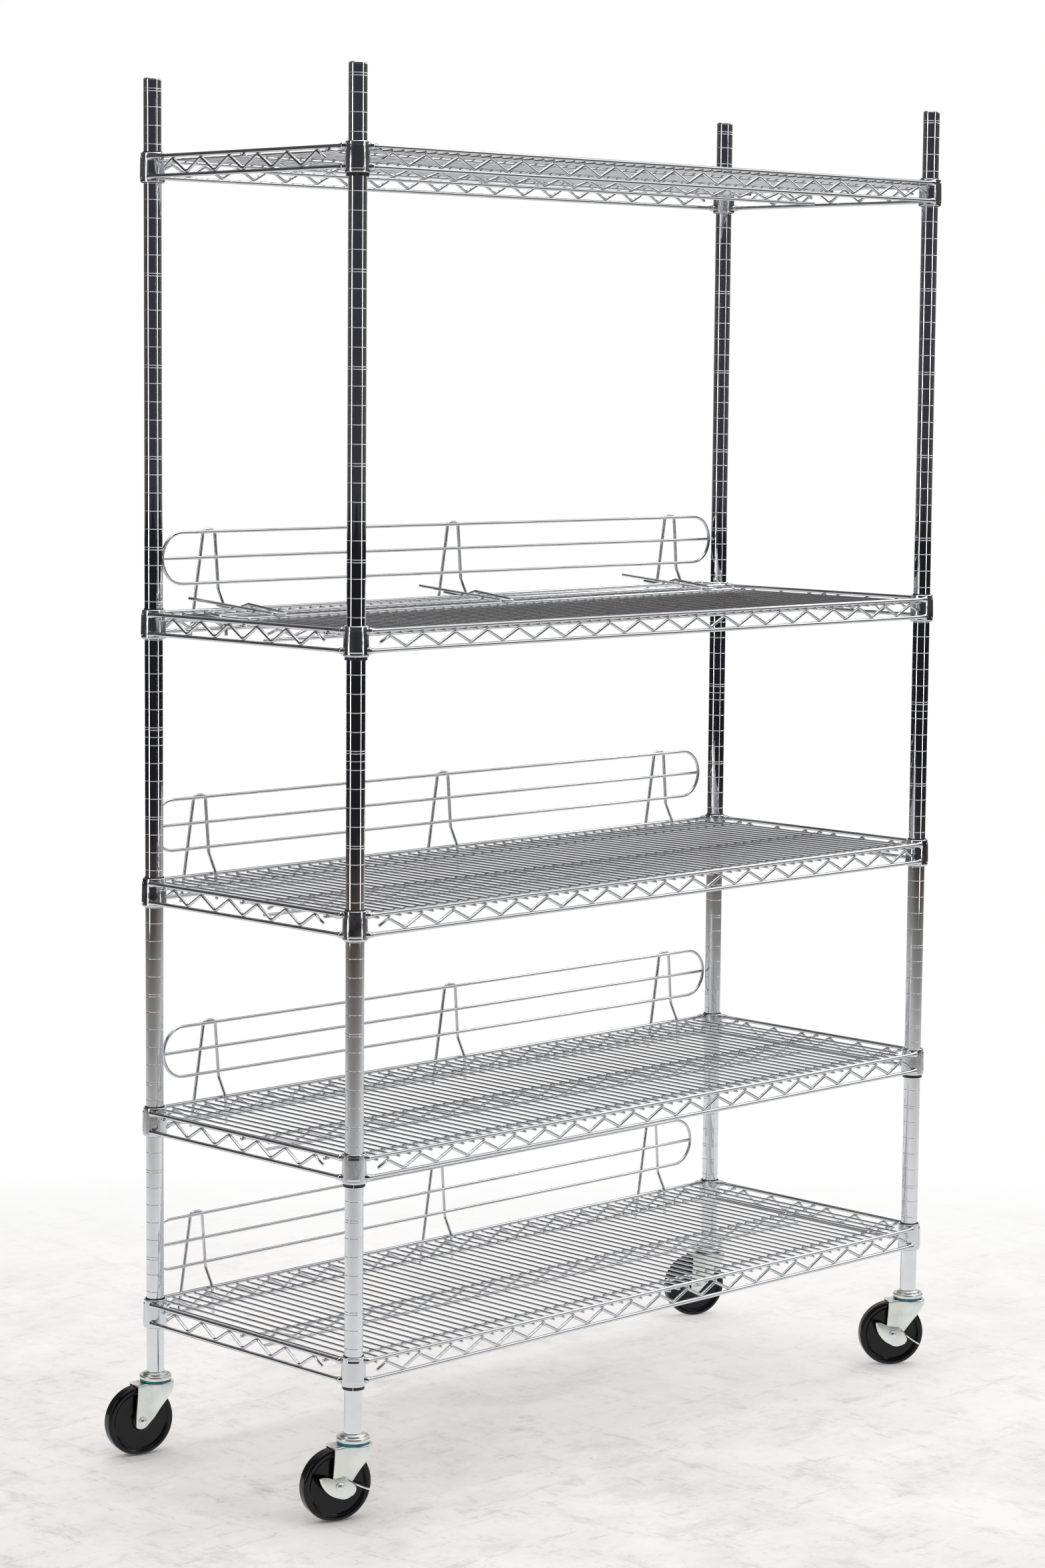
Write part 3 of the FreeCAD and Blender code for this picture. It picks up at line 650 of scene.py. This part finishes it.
def support_shape(y):
    """Lengthwise wire under the deck, stepped up at both ends to meet the rim's underside."""
    stations = [(HALF_X + 20 * MM, UNDER_RIM_LEVEL), (HALF_X + 5 * MM, UNDER_RIM_LEVEL),
                (HALF_X - 4 * MM, SUPPORT_LEVEL)]
    left = [Vector((-x, y, z)) for x, z in stations]
    right = [Vector((x, y, z)) for x, z in reversed(stations)]
    return swept(rounded(left + right, SUPPORT_BEND, 5), LACING_WIRE / 2)


def deck_shape():
    shape = Shape()
    first = -DECK_PITCH * (DECK_COUNT - 1) / 2
    for index in range(DECK_COUNT):
        outermost = index in (0, DECK_COUNT - 1)
        end = HALF_Y - DECK_SHORT_END if outermost else RIM_Y + DECK_PROUD
        path = straight("y", end, first + index * DECK_PITCH, DECK_LEVEL)
        shape.add(swept(path, DECK_WIRE / 2, DECK_SIDES))
    for y in (-SUPPORT_ROW, 0.0, SUPPORT_ROW):
        shape.add(support_shape(y))
    return shape


def finish_wires(shape, node):
    finish_piece(shape, node + "_wires", node, 50)


def build_shelves():
    parts = {"rim": rim_shape(), "lacing": lacing_shape(), "deck": deck_shape()}
    for tier in TIERS:
        at = Matrix.Translation(MIDDLE + Z * tier_top(tier))
        for kind, source in parts.items():
            finish_wires(Shape().add(source, at), "shelf_%d_%s" % (tier, kind))


# ---- ledges ----
def ledge_shape():
    """Loop and brackets about the middle of the bracket plane, +Y outwards from the shelf."""
    shape = Shape()
    loop_y = WELD_BITE - (LEDGE_WIRE + BRACKET_WIRE) / 2
    bend_x = LEDGE_HALF_LENGTH - LEDGE_PITCH
    middle = LEDGE_BOTTOM + LEDGE_PITCH
    outline = []
    for side, first in ((1, -90), (-1, 90)):
        for x, z in arc((side * bend_x, middle), LEDGE_PITCH, first, first + 180, 24):
            outline.append(Vector((x, loop_y, z)))
    shape.add(swept(outline, LEDGE_WIRE / 2, closed=True))
    shape.add(swept(straight("x", LEDGE_HALF_LENGTH, loop_y, middle), LEDGE_WIRE / 2))
    for index in (-1, 0, 1):
        x = index * BRACKET_PITCH
        points = [Vector((x + dx * MM, step * BRACKET_STEP, z)) for dx, step, z in BRACKET_CORNERS]
        shape.add(swept(rounded(points, BRACKET_BEND, 8), BRACKET_WIRE / 2))
    return shape


def build_ledges():
    source = ledge_shape()
    for tier in TIERS[1:]:
        node = "ledge_%d" % tier
        low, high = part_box(node)
        at = Vector(((low.x + high.x) / 2, high.y - BRACKET_WIRE / 2, tier_top(tier)))
        finish_wires(Shape().add(source, Matrix.Translation(at)), node)
    turn = turn_about(SPARE_YAW, "Z") @ turn_about(90 + SPARE_SLOPE, "X")
    shape = Shape().add(source, turn @ Matrix.Translation((0, 0, -BRACKET_TOP)))
    low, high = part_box("ledge_spare")
    made_low, made_high = (Vector([edge(v[i] for v in shape.verts) for i in range(3)]) for edge in (min, max))
    shape.place(Matrix.Translation((low + high - made_low - made_high) / 2))
    finish_wires(shape, "ledge_spare")


# ---- collars and sleeves: built for the front-left corner, from the collar's top down ----
def soft(profile, radius, steps):
    """Outline of (radius, z) points with its corners rounded, its first and last points kept."""
    nearly_straight, most_of_run = 0.15, 0.45
    points = [Vector((r, 0, z)) for r, z in profile]
    route = [points[0]]
    for before, corner, after in zip(points, points[1:], points[2:]):
        room = most_of_run * min((before - corner).length, (after - corner).length)
        turn = (corner - before).angle(after - corner, 0.0)
        if turn < nearly_straight:
            route.append(corner)
            continue
        bend = min(radius, room / math.tan(turn / 2))
        route += rounded([before, corner, after], bend, steps)[1:-1]
    route.append(points[-1])
    return [(v.x, v.z) for v in route]


def bead_shape(along, level):
    """Weld bead round a rim wire's end: a lumpy collar that tapers onto the wire."""
    path = [spot(along, at * MM, -RIM_OFFSET, level) for at, _ in BEAD]
    return swept(path, MM, BEAD_SIDES, radii=[r for _, r in BEAD], rounding=0.0)


def pad_radius(across, along):
    """Radius of the raised pad at a spot, from -1 to 1 across it and from its top (-1) to its foot (1)."""
    edge = min(1.0, 4.5 * (1 - max(abs(across), abs(along)) ** 3))
    return PAD_BASE + PAD_TAPER * (along + 1) / 2 + PAD_RISE * edge * edge * (3 - 2 * edge)


def collar_shape():
    """Cast collar with its raised outer pad, and the weld beads of the rim wires that end at it."""
    shape = Shape()
    shape.add(turned(soft(in_mm(COLLAR), 0.9 * MM, 4), COLLAR_SIDES))
    steps, rows = 28, 20
    grid = []
    for row in range(rows + 1):
        z = (PAD_TOP - PAD_LENGTH * row / rows) * MM
        ring = []
        for step in range(steps + 1):
            across = 2 * step / steps - 1
            radius = pad_radius(across, 2 * row / rows - 1)
            turn = PAD_MIDDLE + PAD_HALF_ANGLE * across
            ring.append(Vector((radius * math.cos(turn), radius * math.sin(turn), z)))
        grid.append(shape.ring(ring))
    shrink = Matrix.Diagonal((PAD_INNER, PAD_INNER, 1, 1))
    inner = [shape.ring([shrink @ shape.verts[i] for i in ring]) for ring in grid]
    stitch_sheet(shape, grid, inner)
    for along in "xy":
        for level in (RIM_TOP, RIM_BOTTOM):
            shape.add(bead_shape(along, level))
    return shape


def stitch_sheet(shape, outer, inner):
    """Closes two grids of the same size into a shell."""
    rows, cols = len(outer), len(outer[0])
    for r in range(rows - 1):
        for c in range(cols - 1):
            shape.faces.append((outer[r][c], outer[r][c + 1], outer[r + 1][c + 1], outer[r + 1][c]))
            shape.faces.append((inner[r][c], inner[r + 1][c], inner[r + 1][c + 1], inner[r][c + 1]))
    border = [(0, c) for c in range(cols)] + [(r, cols - 1) for r in range(1, rows)]
    border += [(rows - 1, c) for c in range(cols - 2, -1, -1)] + [(r, 0) for r in range(rows - 2, 0, -1)]
    for (r, c), (r2, c2) in zip(border, border[1:] + border[:1]):
        shape.faces.append((outer[r][c], inner[r][c], inner[r2][c2], outer[r2][c2]))


def sleeve_shape():
    """The two halves of a split sleeve, with a thin lip at the top and a gap between them."""
    shape = Shape()
    for half in (0.0, 180.0):
        sweep, start = math.radians(180.0 - 2 * SLEEVE_GAP), math.radians(half + SLEEVE_GAP)
        shape.add(turned(in_mm(SLEEVE), SLEEVE_SIDES, sweep, start))
    return shape


def build_corners():
    collar, sleeve = collar_shape(), sleeve_shape()
    for tier in TIERS:
        collars, sleeves = Shape(), Shape()
        for corner in CORNERS:
            turn, top = CORNER_TURNS[corner], tier_top(tier)
            collars.add(collar, post_place(corner, top) @ turn_about(turn, "Z"))
            drop = SLEEVE_DROP if tier in LOW_SLEEVES[corner] else 0.0
            sleeves.add(sleeve, post_place(corner, top - drop) @ turn_about(turn + 45, "Z"))
        node = "shelf_%d_collars" % tier
        finish_piece(collars, node + "_cast", node, 40, material="collar_chrome")
        node = "shelf_%d_sleeves" % tier
        finish_piece(sleeves, node + "_split", node, 40)


# ---- casters: built at the origin, trailing along +X, the brake and bolt head on the +Y side ----
def smooth_step(value):
    value = max(0.0, min(1.0, value))
    return value * value * (3 - 2 * value)


def caster_place(corner):
    """Lays a caster's own axes on the cart's, by its wheel's axle, and moves it under its post."""
    across = JOINTS["roll_" + corner]["axis"]
    return post_place(corner) @ Matrix.Rotation(math.atan2(-across[0], across[1]), 4, "Z")


def leg_floor(x):
    """Lowest point of a leg at a distance x along the trail."""
    front = TRAIL + LEG_REACH * math.cos(LEG_TURN)
    if x >= front:
        reach = min(1.0, abs(x - TRAIL) / LEG_REACH)
        return WHEEL_RADIUS - LEG_REACH * math.sqrt(1 - reach * reach)
    corners = in_mm(LEG_EDGE) + [(front, WHEEL_RADIUS + LEG_REACH * math.sin(LEG_TURN))]
    index = next(i for i, (end, _) in enumerate(corners[1:]) if x <= end)
    (x0, z0), (x1, z1) = corners[index:index + 2]
    part = (x - x0) / (x1 - x0)
    return z0 + (z1 - z0) * (max(0.0, part) if index else smooth_step(part))


def plate_half(x):
    """Half width of the fork's top at x: straight sides behind, a round front, and a crease between."""
    if x < -FORK_ROUND:
        return 0.0
    sides = FORK_HALF + 6.2 * MM * smooth_step((15 * MM - x) / (17 * MM))
    return min(sides, math.sqrt(FORK_ROUND * FORK_ROUND - min(x, 0.0) ** 2))


def plate_top(x):
    return FORK_TOP - 0.9 * MM * smooth_step((x - 20 * MM) / (8 * MM))


def fork_column(x, rows_flat=5, rows_bend=5, rows_wall=22):
    """Points from the plate's middle out over its bend and down a wall, at a distance x along the trail."""
    top, half = plate_top(x), plate_half(x)
    low = leg_floor(min(x, TRAIL + LEG_REACH * 0.999))
    out = Vector((0.0, 1.0))
    if x < 0:
        out = out.lerp(Vector((x, half)).normalized(), smooth_step(-x / (20 * MM))).normalized()
    inset = Vector((x, half)) - out * FORK_BEND
    line = [(inset.x, inset.y * i / rows_flat, top) for i in range(rows_flat)]
    for i in range(rows_bend):
        turn = math.pi / 2 * i / (rows_bend - 1)
        edge = inset + out * (FORK_BEND * math.sin(turn))
        line.append((edge.x, edge.y, top - FORK_BEND * (1 - math.cos(turn))))
    flare = LEG_FLARE * max(0.0, x - FLARE_START) / (FORK_BACK - FLARE_START)
    start = top - FORK_BEND
    for i in range(rows_wall):
        z = start + (low - start) * (i + 1) / rows_wall
        y = half
        if half > FORK_HALF:
            y = FORK_HALF + (half - FORK_HALF) * smooth_step((z - 64 * MM) / (34 * MM))
        line.append((x + flare * (1 - smooth_step((z - 50 * MM) / (50 * MM))), y, z))
    return line


def fork_shape():
    """Pressed sheet: a plate whose sides and front fold down into two legs and a short apron."""
    last = 56
    shares = [0.5 - 0.5 * math.cos(math.pi * i / last) for i in range(last + 1)]
    stations = [FORK_BACK - (FORK_BACK + FORK_ROUND) * share for share in shares]
    columns = [(x, 1) for x in stations] + [(x, -1) for x in reversed(stations[:-1])]
    lines = [[Vector((px, side * py, pz)) for px, py, pz in fork_column(x)] for x, side in columns]
    shape = Shape()
    outer = [shape.ring(row) for row in zip(*lines)]
    for a, b in zip(outer, outer[1:]):
        for i in range(len(a) - 1):
            shape.faces.append((a[i], a[i + 1], b[i + 1], b[i]))
    return thicken(shape, FORK_SHEET - 0.1 * MM)


def thicken(shape, depth):
    """Gives an open sheet its thickness, inwards from its faces."""
    mesh = shape.mesh("sheet")
    bm = bmesh.new()
    bm.from_mesh(mesh)
    bmesh.ops.remove_doubles(bm, verts=bm.verts, dist=0.02 * MM)
    bmesh.ops.dissolve_degenerate(bm, edges=bm.edges, dist=0.02 * MM)
    bmesh.ops.recalc_face_normals(bm, faces=bm.faces)
    top = max(bm.faces, key=lambda face: face.calc_center_median().z)
    if top.normal.z < 0:
        bmesh.ops.reverse_faces(bm, faces=bm.faces)
    bmesh.ops.solidify(bm, geom=bm.faces[:], thickness=depth)
    bm.verts.index_update()
    solid = Shape()
    solid.verts = [v.co.copy() for v in bm.verts]
    solid.faces = [tuple(v.index for v in face.verts) for face in bm.faces]
    bm.free()
    bpy.data.meshes.remove(mesh)
    return solid


def on_axle():
    """Matrix from a shape turned about Z to the axle, its +Z towards +Y."""
    return Matrix.Translation((TRAIL, 0, WHEEL_RADIUS)) @ turn_about(-90, "X")


def wheel_shape():
    outline = in_mm(WHEEL) + arc((WHEEL_RADIUS - TYRE_EDGE, 5.4 * MM), TYRE_EDGE, 82, 6, 8)
    outline += [(WHEEL_RADIUS, 3.5 * MM), (WHEEL_RADIUS, 0)]
    full = soft(outline, 1.2 * MM, 4)
    full += [(r, -z) for r, z in reversed(full[:-1])]
    full.append(full[0])
    return turned(full, WHEEL_SIDES).place(on_axle())


def hex_ring(radius, limit, z):
    """Ring round a hexagon, cut back to a circle where the limit is the smaller."""
    flat = math.radians(30.0)
    points = []
    for i in range(HEX_SIDES):
        turn = FULL_TURN * i / HEX_SIDES
        r = min(radius * math.cos(flat) / math.cos(turn % (2 * flat) - flat), limit)
        points.append(Vector((r * math.cos(turn), r * math.sin(turn), z)))
    return points


def nut_shape():
    low, high = -FORK_HALF - 6.5 * MM, -FORK_HALF
    # (height, the hexagon's radius in mm, its limit in mm)
    levels = ((low + 0.2 * MM, 8, 4.4), (low, 7.5, 6.2), (low + 0.35 * MM, 7.5, 6.9),
              (low + 0.9 * MM, 7.5, 7.6), (high - 0.5 * MM, 7.5, 7.6), (high, 7.5, 7.2), (high, 8, 4.1))
    nut = Shape()
    rings = [nut.ring(hex_ring(radius * MM, limit * MM, z)) for z, radius, limit in levels]
    for a, b in zip(rings, rings[1:] + rings[:1]):
        nut.bridge(a, b)
    return nut


def axle_shape(head_face):
    """Bolt with a domed head at +Z and a threaded end, its nut, and the bush between the legs."""
    dome = ((0, 4.25), (1.8, 4.15), (3.4, 3.75), (4.7, 2.95), (5.5, 1.95), (5.9, 1.1), (6.9, 0.95),
            (7.0, 0.6), (7.0, 0))
    shank, crest, root, tip = 4 * MM, 3.95 * MM, 3.55 * MM, 3.2 * MM
    end, thread, pitch = -FORK_HALF - 9 * MM, -FORK_HALF - 5.8 * MM, 1.25 * MM
    outline = [(r * MM, head_face + z * MM) for r, z in dome] + [(shank, head_face), (shank, thread)]
    while thread - pitch > end + 0.8 * MM:
        outline += [(root, thread - pitch * 0.35), (crest, thread - pitch * 0.75), (crest, thread - pitch)]
        thread -= pitch
    outline += [(tip, end), (0, end)]
    shape = turned(outline, BOLT_SIDES).add(nut_shape())
    bush_half = FORK_HALF - FORK_SHEET - 0.1 * MM
    bush = ((4.05, -1), (5.9, -1), (5.9, 1), (4.05, 1), (4.05, -1))
    shape.add(turned([(r * MM, side * bush_half) for r, side in bush], BOLT_SIDES))
    return shape.place(on_axle())


def slab(outline, y_low, y_high, edge):
    """Plate standing in XZ with its edges rounded, from a closed outline of (x, z) points."""
    count = len(outline)
    points = [Vector((x, 0, z)) for x, z in outline]
    area = sum(a.x * b.z - b.x * a.z for a, b in zip(points, points[1:] + points[:1]))
    inwards = []
    for i in range(count):
        before, here, after = points[i - 1], points[i], points[(i + 1) % count]
        first, second = (here - before).normalized(), (after - here).normalized()
        normal = Vector((-(first.z + second.z), 0, first.x + second.x))
        inwards.append(normal.normalized() if area > 0 else -normal.normalized())
    near = edge * 0.3
    shape = Shape()
    rings = []
    for y, pull in ((y_low, edge), (y_low + near, near), (y_low + edge, 0), (y_high - edge, 0),
                    (y_high - near, near), (y_high, edge)):
        ring = [point + inwards[i] * pull for i, point in enumerate(points)]
        rings.append(shape.ring([Vector((v.x, y, v.z)) for v in ring]))
    for a, b in zip(rings, rings[1:]):
        shape.bridge(a, b)
    shape.cap(rings[0], flip=True)
    shape.cap(rings[-1])
    return shape


def through(a, b, c, steps):
    """Points of the arc from a through b to c."""
    (ax, ay), (bx, by), (cx, cy) = a, b, c
    d = 2 * (ax * (by - cy) + bx * (cy - ay) + cx * (ay - by))
    aa, bb, cc = ax * ax + ay * ay, bx * bx + by * by, cx * cx + cy * cy
    ux = (aa * (by - cy) + bb * (cy - ay) + cc * (ay - by)) / d
    uy = (aa * (cx - bx) + bb * (ax - cx) + cc * (bx - ax)) / d
    radius = math.hypot(ax - ux, ay - uy)
    first, middle, last = (math.atan2(y - uy, x - ux) for x, y in (a, b, c))
    turn = (last - first) % FULL_TURN
    if (middle - first) % FULL_TURN > turn:
        turn -= FULL_TURN
    angles = [first + turn * i / steps for i in range(steps + 1)]
    return [(ux + radius * math.cos(t), uy + radius * math.sin(t)) for t in angles]


def lever_outline():
    """(x, z) points in mm round the brake lever's plate."""
    toe, belly, heel, back, crook = (58.6, 65.9), (28, 34.5), (11, 35.7), (3.3, 47.3), (38, 62.2)
    outline = through(toe, (47.5, 45.5), belly, 16) + through(belly, (18, 32.9), heel, 8)[1:]
    outline += through(heel, (4.6, 40.5), back, 8)[1:] + [(9, 55.3), (17.8, 63.2)]
    return outline + through((20, 63.4), (30, 62.2), crook, 6) + through(crook, (48, 66), toe, 10)[1:-1]


def lever_shape():
    """Brake lever: a plate beside the fork, and the bent-over tab that the foot presses."""
    near = FORK_HALF + BRAKE_GAP
    far = near + BRAKE_SHEET
    shape = slab(in_mm(lever_outline()), near, far, 0.4 * MM)
    root, end = Vector((15.6, 0, 60.2)) * MM, Vector((-16.6, 0, 43.7)) * MM
    run = end - root
    along = run.normalized()
    lift = -Vector((-along.z, 0, along.x))
    half = BRAKE_SHEET / 2
    steps, columns = 18, 6
    root_share, tip_share = 0.3, 0.8
    grid_top, grid_low = [], []
    for i in range(steps + 1):
        part = i / steps
        inner, wide = near + 0.2 * MM, far + BRAKE_TAB - 0.4 * MM
        if part > tip_share:
            pull = 1 - math.sqrt(max(0.0, 1 - ((part - tip_share) / (1 - tip_share)) ** 2))
            wide -= pull * 3.2 * MM
            inner += pull * 3.6 * MM
        if part < root_share:
            wide = far + (wide - far) * smooth_step(part / root_share + 0.08)
        at = root + along * (run.length * part) - lift * (1.1 * MM * math.sin(math.pi * part))
        line_top, line_low = [], []
        for j in range(columns + 1):
            crown = 0.25 * MM * math.sin(math.pi * j / columns)
            centre = Vector((at.x, inner + (wide - inner) * j / columns, at.z)) - lift * half
            line_top.append(centre - lift * (half * 0.92 + crown))
            line_low.append(centre + lift * (half * 0.92 - crown))
        grid_top.append(shape.ring(line_top))
        grid_low.append(shape.ring(line_low))
    stitch_sheet(shape, grid_top, grid_low)
    return shape


def ball_shape():
    outline = [(0, BALL_RADIUS)] + arc((0, 0), BALL_RADIUS, 75, -75, 10) + [(0, -BALL_RADIUS)]
    return turned(outline, BALL_SIDES)


def build_casters():
    race = soft(in_mm(RACE), 0.8 * MM, 4)
    rings = {"caster_stems": ("stems_turned", turned(in_mm(STEM), BOLT_SIDES)),
             "caster_race_caps": ("race_caps_pressed", turned(race + race[:1], RACE_SIDES)),
             "caster_seals": ("seals_moulded", turned(in_mm(SEAL), RACE_SIDES))}
    for node, (name, source) in rings.items():
        finish_piece(at_corners(source, caster_place), name, node, 45)
    balls, ball = Shape(), ball_shape()
    level = FORK_TOP + BALL_RADIUS + 0.4 * MM
    for index in range(BALL_COUNT):
        turn = FULL_TURN * index / BALL_COUNT
        at = (BALL_CIRCLE * math.cos(turn), BALL_CIRCLE * math.sin(turn), level)
        balls.add(ball, Matrix.Translation(at))
    finish_piece(at_corners(balls, post_place), "balls_ground", "caster_balls", 38)
    fork, wheel = fork_shape(), wheel_shape()
    for corner in CORNERS:
        build_caster(corner, fork, wheel)


def build_caster(corner, fork, wheel):
    head_face = FORK_HALF + (BRAKE_GAP + BRAKE_SHEET + 0.2 * MM if corner in BRAKED else 0.0)
    # (node, end of the piece's name, smoothing angle, body, shape)
    parts = [("fork_", "_pressed", 32, "swivel_", fork),
             ("axle_", "_bolt", 30, "swivel_", axle_shape(head_face)),
             ("wheel_", "_moulded", 35, "wheel_", wheel)]
    if corner in BRAKED:
        pivot = Matrix.Translation((TRAIL, 0, WHEEL_RADIUS))
        tilt = pivot @ turn_about(JOINTS["brake_" + corner]["range_deg"][0], "Y") @ pivot.inverted()
        parts.append(("brake_", "_plate", 35, "brake_", lever_shape().place(tilt)))
    for kind, end, smooth_angle, body, source in parts:
        shape, node = Shape().add(source, caster_place(corner)), kind + corner
        finish_piece(shape, node + end, node, smooth_angle, body + corner)


# ---- CAD nodes: the studs and sockets inside the posts stay, and the others are replaced ----
def dress_cad():
    for name, obj in frame["nodes"].items():
        obj.data.materials.clear()
        obj.data.materials.append(MATERIALS[SLOTS[name]])


# ---- stage ----
def plane_object(name, level, material):
    s = STAGE_SIZE
    mesh = bpy.data.meshes.new(name)
    mesh.from_pydata([(-s, -s, level), (s, -s, level), (s, s, level), (-s, s, level)], [], [(0, 1, 2, 3)])
    mesh.materials.append(material)
    obj = new_object(name, mesh)
    return obj


def along_floor(graph, direction, origin):
    """Distance of a floor point from the origin, measured along a direction."""
    point = graph.nodes.new("ShaderNodeTexCoord").outputs["Object"]
    offset = graph.vector("SUBTRACT", point, origin)["Vector"]
    return graph.vector("DOT_PRODUCT", offset, direction)["Value"]


def from_middle(graph, behind):
    """Distance of a floor point from a spot some way behind the cart's middle."""
    point = graph.nodes.new("ShaderNodeTexCoord").outputs["Object"]
    return graph.vector("DISTANCE", point, MIDDLE + AHEAD * behind)["Value"]


def floor_colour(graph):
    """Stained paint with scuffs, scratches and chips, and painted light: the floor brightest round the cart's
    middle and a little darker away from the cart.
    """
    base = graph.ramp(graph.noise(2.4, 8.0, roughness=0.72), FLOOR_STAIN)
    # painted light: the floor colour darkened a little with distance from the cart's middle
    reach = graph.ranged(from_middle(graph, 0.0), 0.0, 1.0, 0.6, 2.0)
    base = graph.multiplied(base, graph.ramp(reach, FLOOR_LIGHT_FALLOFF), 1.0)
    for scale, stretch, edge, depth, share in FLOOR_MARKS:
        stops = [(edge, tuple(c * depth for c in MARK_TINT)), (edge + MARK_SOFTNESS, WHITE)]
        tone = graph.ramp(graph.noise(scale, 12.0, stretch=stretch, roughness=0.8), stops)
        base = graph.multiplied(base, tone, share)
    return base


def build_floor():
    """Pale painted concrete that runs out into the white of the backdrop behind the cart, with a painted light
    glow: white emission mixed in up to half towards the camera's right.
    """
    material, graph, sockets = new_material("floor_paint")
    sockets["Roughness"].default_value = 0.8
    sockets["Specular IOR Level"].default_value = 0.1
    graph.link(floor_colour(graph), sockets["Base Color"])
    graph.bump(graph.noise(16.0, 12.0, roughness=0.8), 0.15, 0.004)
    white = graph.add("ShaderNodeEmission", {"Color": (*WHITE, 1)}, {})
    start = Vector((*POSTS["front_left"], 0))
    behind = graph.ranged(along_floor(graph, AHEAD, start), 0.0, 1.0, *FADE_BEHIND)
    # painted light: white emission mixed in up to half towards the camera's right, as if that side were lit
    # brighter
    painted_light_beside = graph.ranged(along_floor(graph, AHEAD.cross(Z), start), 0.0, 0.5, *LIGHT_FADE_BESIDE)
    backdrop_and_painted_light = graph.add("ShaderNodeMath", {}, {0: behind, 1: painted_light_beside})
    backdrop_and_painted_light.operation = "MAXIMUM"
    paint = graph.nodes["Principled BSDF"].outputs["BSDF"]
    wires = {"Fac": backdrop_and_painted_light.outputs["Value"], 1: paint, 2: white.outputs["Emission"]}
    blend = graph.add("ShaderNodeMixShader", {}, wires)
    graph.link(blend.outputs["Shader"], graph.nodes["Material Output"].inputs["Surface"])
    plane_object("floor", 0.0, material).visible_glossy = False


def build_floor_glow():
    """The floor as the chrome sees it: lit round the cart, dim further out."""
    material, graph, _ = new_material("floor_glow")
    reach = graph.ranged(from_middle(graph, GLOW_BEHIND), 0.0, 1.0, 0.0, GLOW_REACH)
    glow = graph.add("ShaderNodeEmission", {}, {"Color": graph.ramp(reach, FLOOR_GLOW)})
    graph.link(glow.outputs["Emission"], graph.nodes["Material Output"].inputs["Surface"])
    plane = plane_object("floor_glow", -0.001, material)
    plane.visible_camera = plane.visible_diffuse = False
    plane.visible_shadow = plane.visible_transmission = False


def add_camera():
    data = bpy.data.cameras.new("camera")
    data.lens = CAMERA_LENS
    data.sensor_width = 36.0
    data.clip_end = 100.0
    camera = new_object("camera", data)
    level = math.cos(CAMERA_PITCH)
    ahead = Vector((math.sin(CAMERA_YAW) * level, math.cos(CAMERA_YAW) * level, math.sin(CAMERA_PITCH)))
    right = ahead.cross(Z).normalized()
    up = right.cross(ahead)
    side = math.cos(CAMERA_ROLL) * right + math.sin(CAMERA_ROLL) * up
    top = -math.sin(CAMERA_ROLL) * right + math.cos(CAMERA_ROLL) * up
    foot = Vector((*POSTS["front_left"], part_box("lower_post_front_left")[0].z))
    turn = Matrix((side, top, -ahead)).transposed().to_4x4()
    camera.matrix_world = Matrix.Translation(foot + CAMERA_FROM_POST) @ turn
    bpy.context.scene.camera = camera


def soft_box(name, azimuth, distance, height, width, tall, power, aim):
    """Rectangular light. Azimuth is from the camera's side, anticlockwise from above."""
    turn = math.radians(-90.0) - CAMERA_YAW + math.radians(azimuth)
    data = bpy.data.lights.new(name, "AREA")
    data.shape = "RECTANGLE"
    data.size = width
    data.size_y = tall
    data.energy = power
    light = new_object(name, data)
    light.location = MIDDLE + Vector((math.cos(turn), math.sin(turn), 0)) * distance + Z * height
    light.rotation_mode = "QUATERNION"
    light.rotation_quaternion = (MIDDLE + Z * aim - light.location).to_track_quat("-Z", "Y")


def add_lights():
    soft_box("strip_left", -58.5, 3.7, 1.9, 0.36, 3.2, 17, aim=1.9)
    soft_box("strip_right", 57.5, 3.25, 1.9, 0.24, 3.2, 10.5, aim=1.9)
    soft_box("ceiling", 150.0, 0.6, 4.2, 2.4, 2.4, 34, aim=0.0)
    soft_box("low_right", 135.0, 2.7, 2.7, 1.5, 1.0, 10, aim=0.3)


def build_world():
    """White to the camera, pale to the floor, and to the chrome a dark room with three bright patches:
    low behind the cart, high at one side, and overhead."""
    world = bpy.data.worlds.new("studio")
    bpy.context.scene.world = world
    graph = Graph(world)
    rays = graph.nodes.new("ShaderNodeLightPath").outputs
    way = graph.nodes.new("ShaderNodeTexCoord").outputs["Generated"]
    ahead = graph.vector("DOT_PRODUCT", way, AHEAD)["Value"]
    aside = graph.vector("DOT_PRODUCT", way, SIDE_GLOW.normalized())["Value"]
    upright = graph.add("ShaderNodeSeparateXYZ", {}, {"Vector": way}).outputs["Z"]
    colour = graph.ramp(graph.ranged(ahead, 0, 1, -1, 1), WORLD_ROOM)
    colour = graph.covered(colour, SIDE_COLOUR, graph.ranged(aside, 0.0, 1.0, *SIDE_SPAN))
    colour = graph.covered(colour, OVERHEAD_COLOUR, graph.ranged(upright, 0.0, 1.0, *OVERHEAD_SPAN))
    colour = graph.covered(colour, DIFFUSE_COLOUR, rays["Is Diffuse Ray"])
    colour = graph.covered(colour, WHITE, rays["Is Camera Ray"])
    graph.link(colour, graph.nodes["Background"].inputs["Color"])


def main():
    bpy.context.scene.view_settings.view_transform = "Standard"
    dress_cad()
    build_posts()
    build_post_caps()
    build_shelves()
    build_ledges()
    build_corners()
    build_casters()
    build_floor()
    build_floor_glow()
    add_camera()
    add_lights()
    build_world()


main()
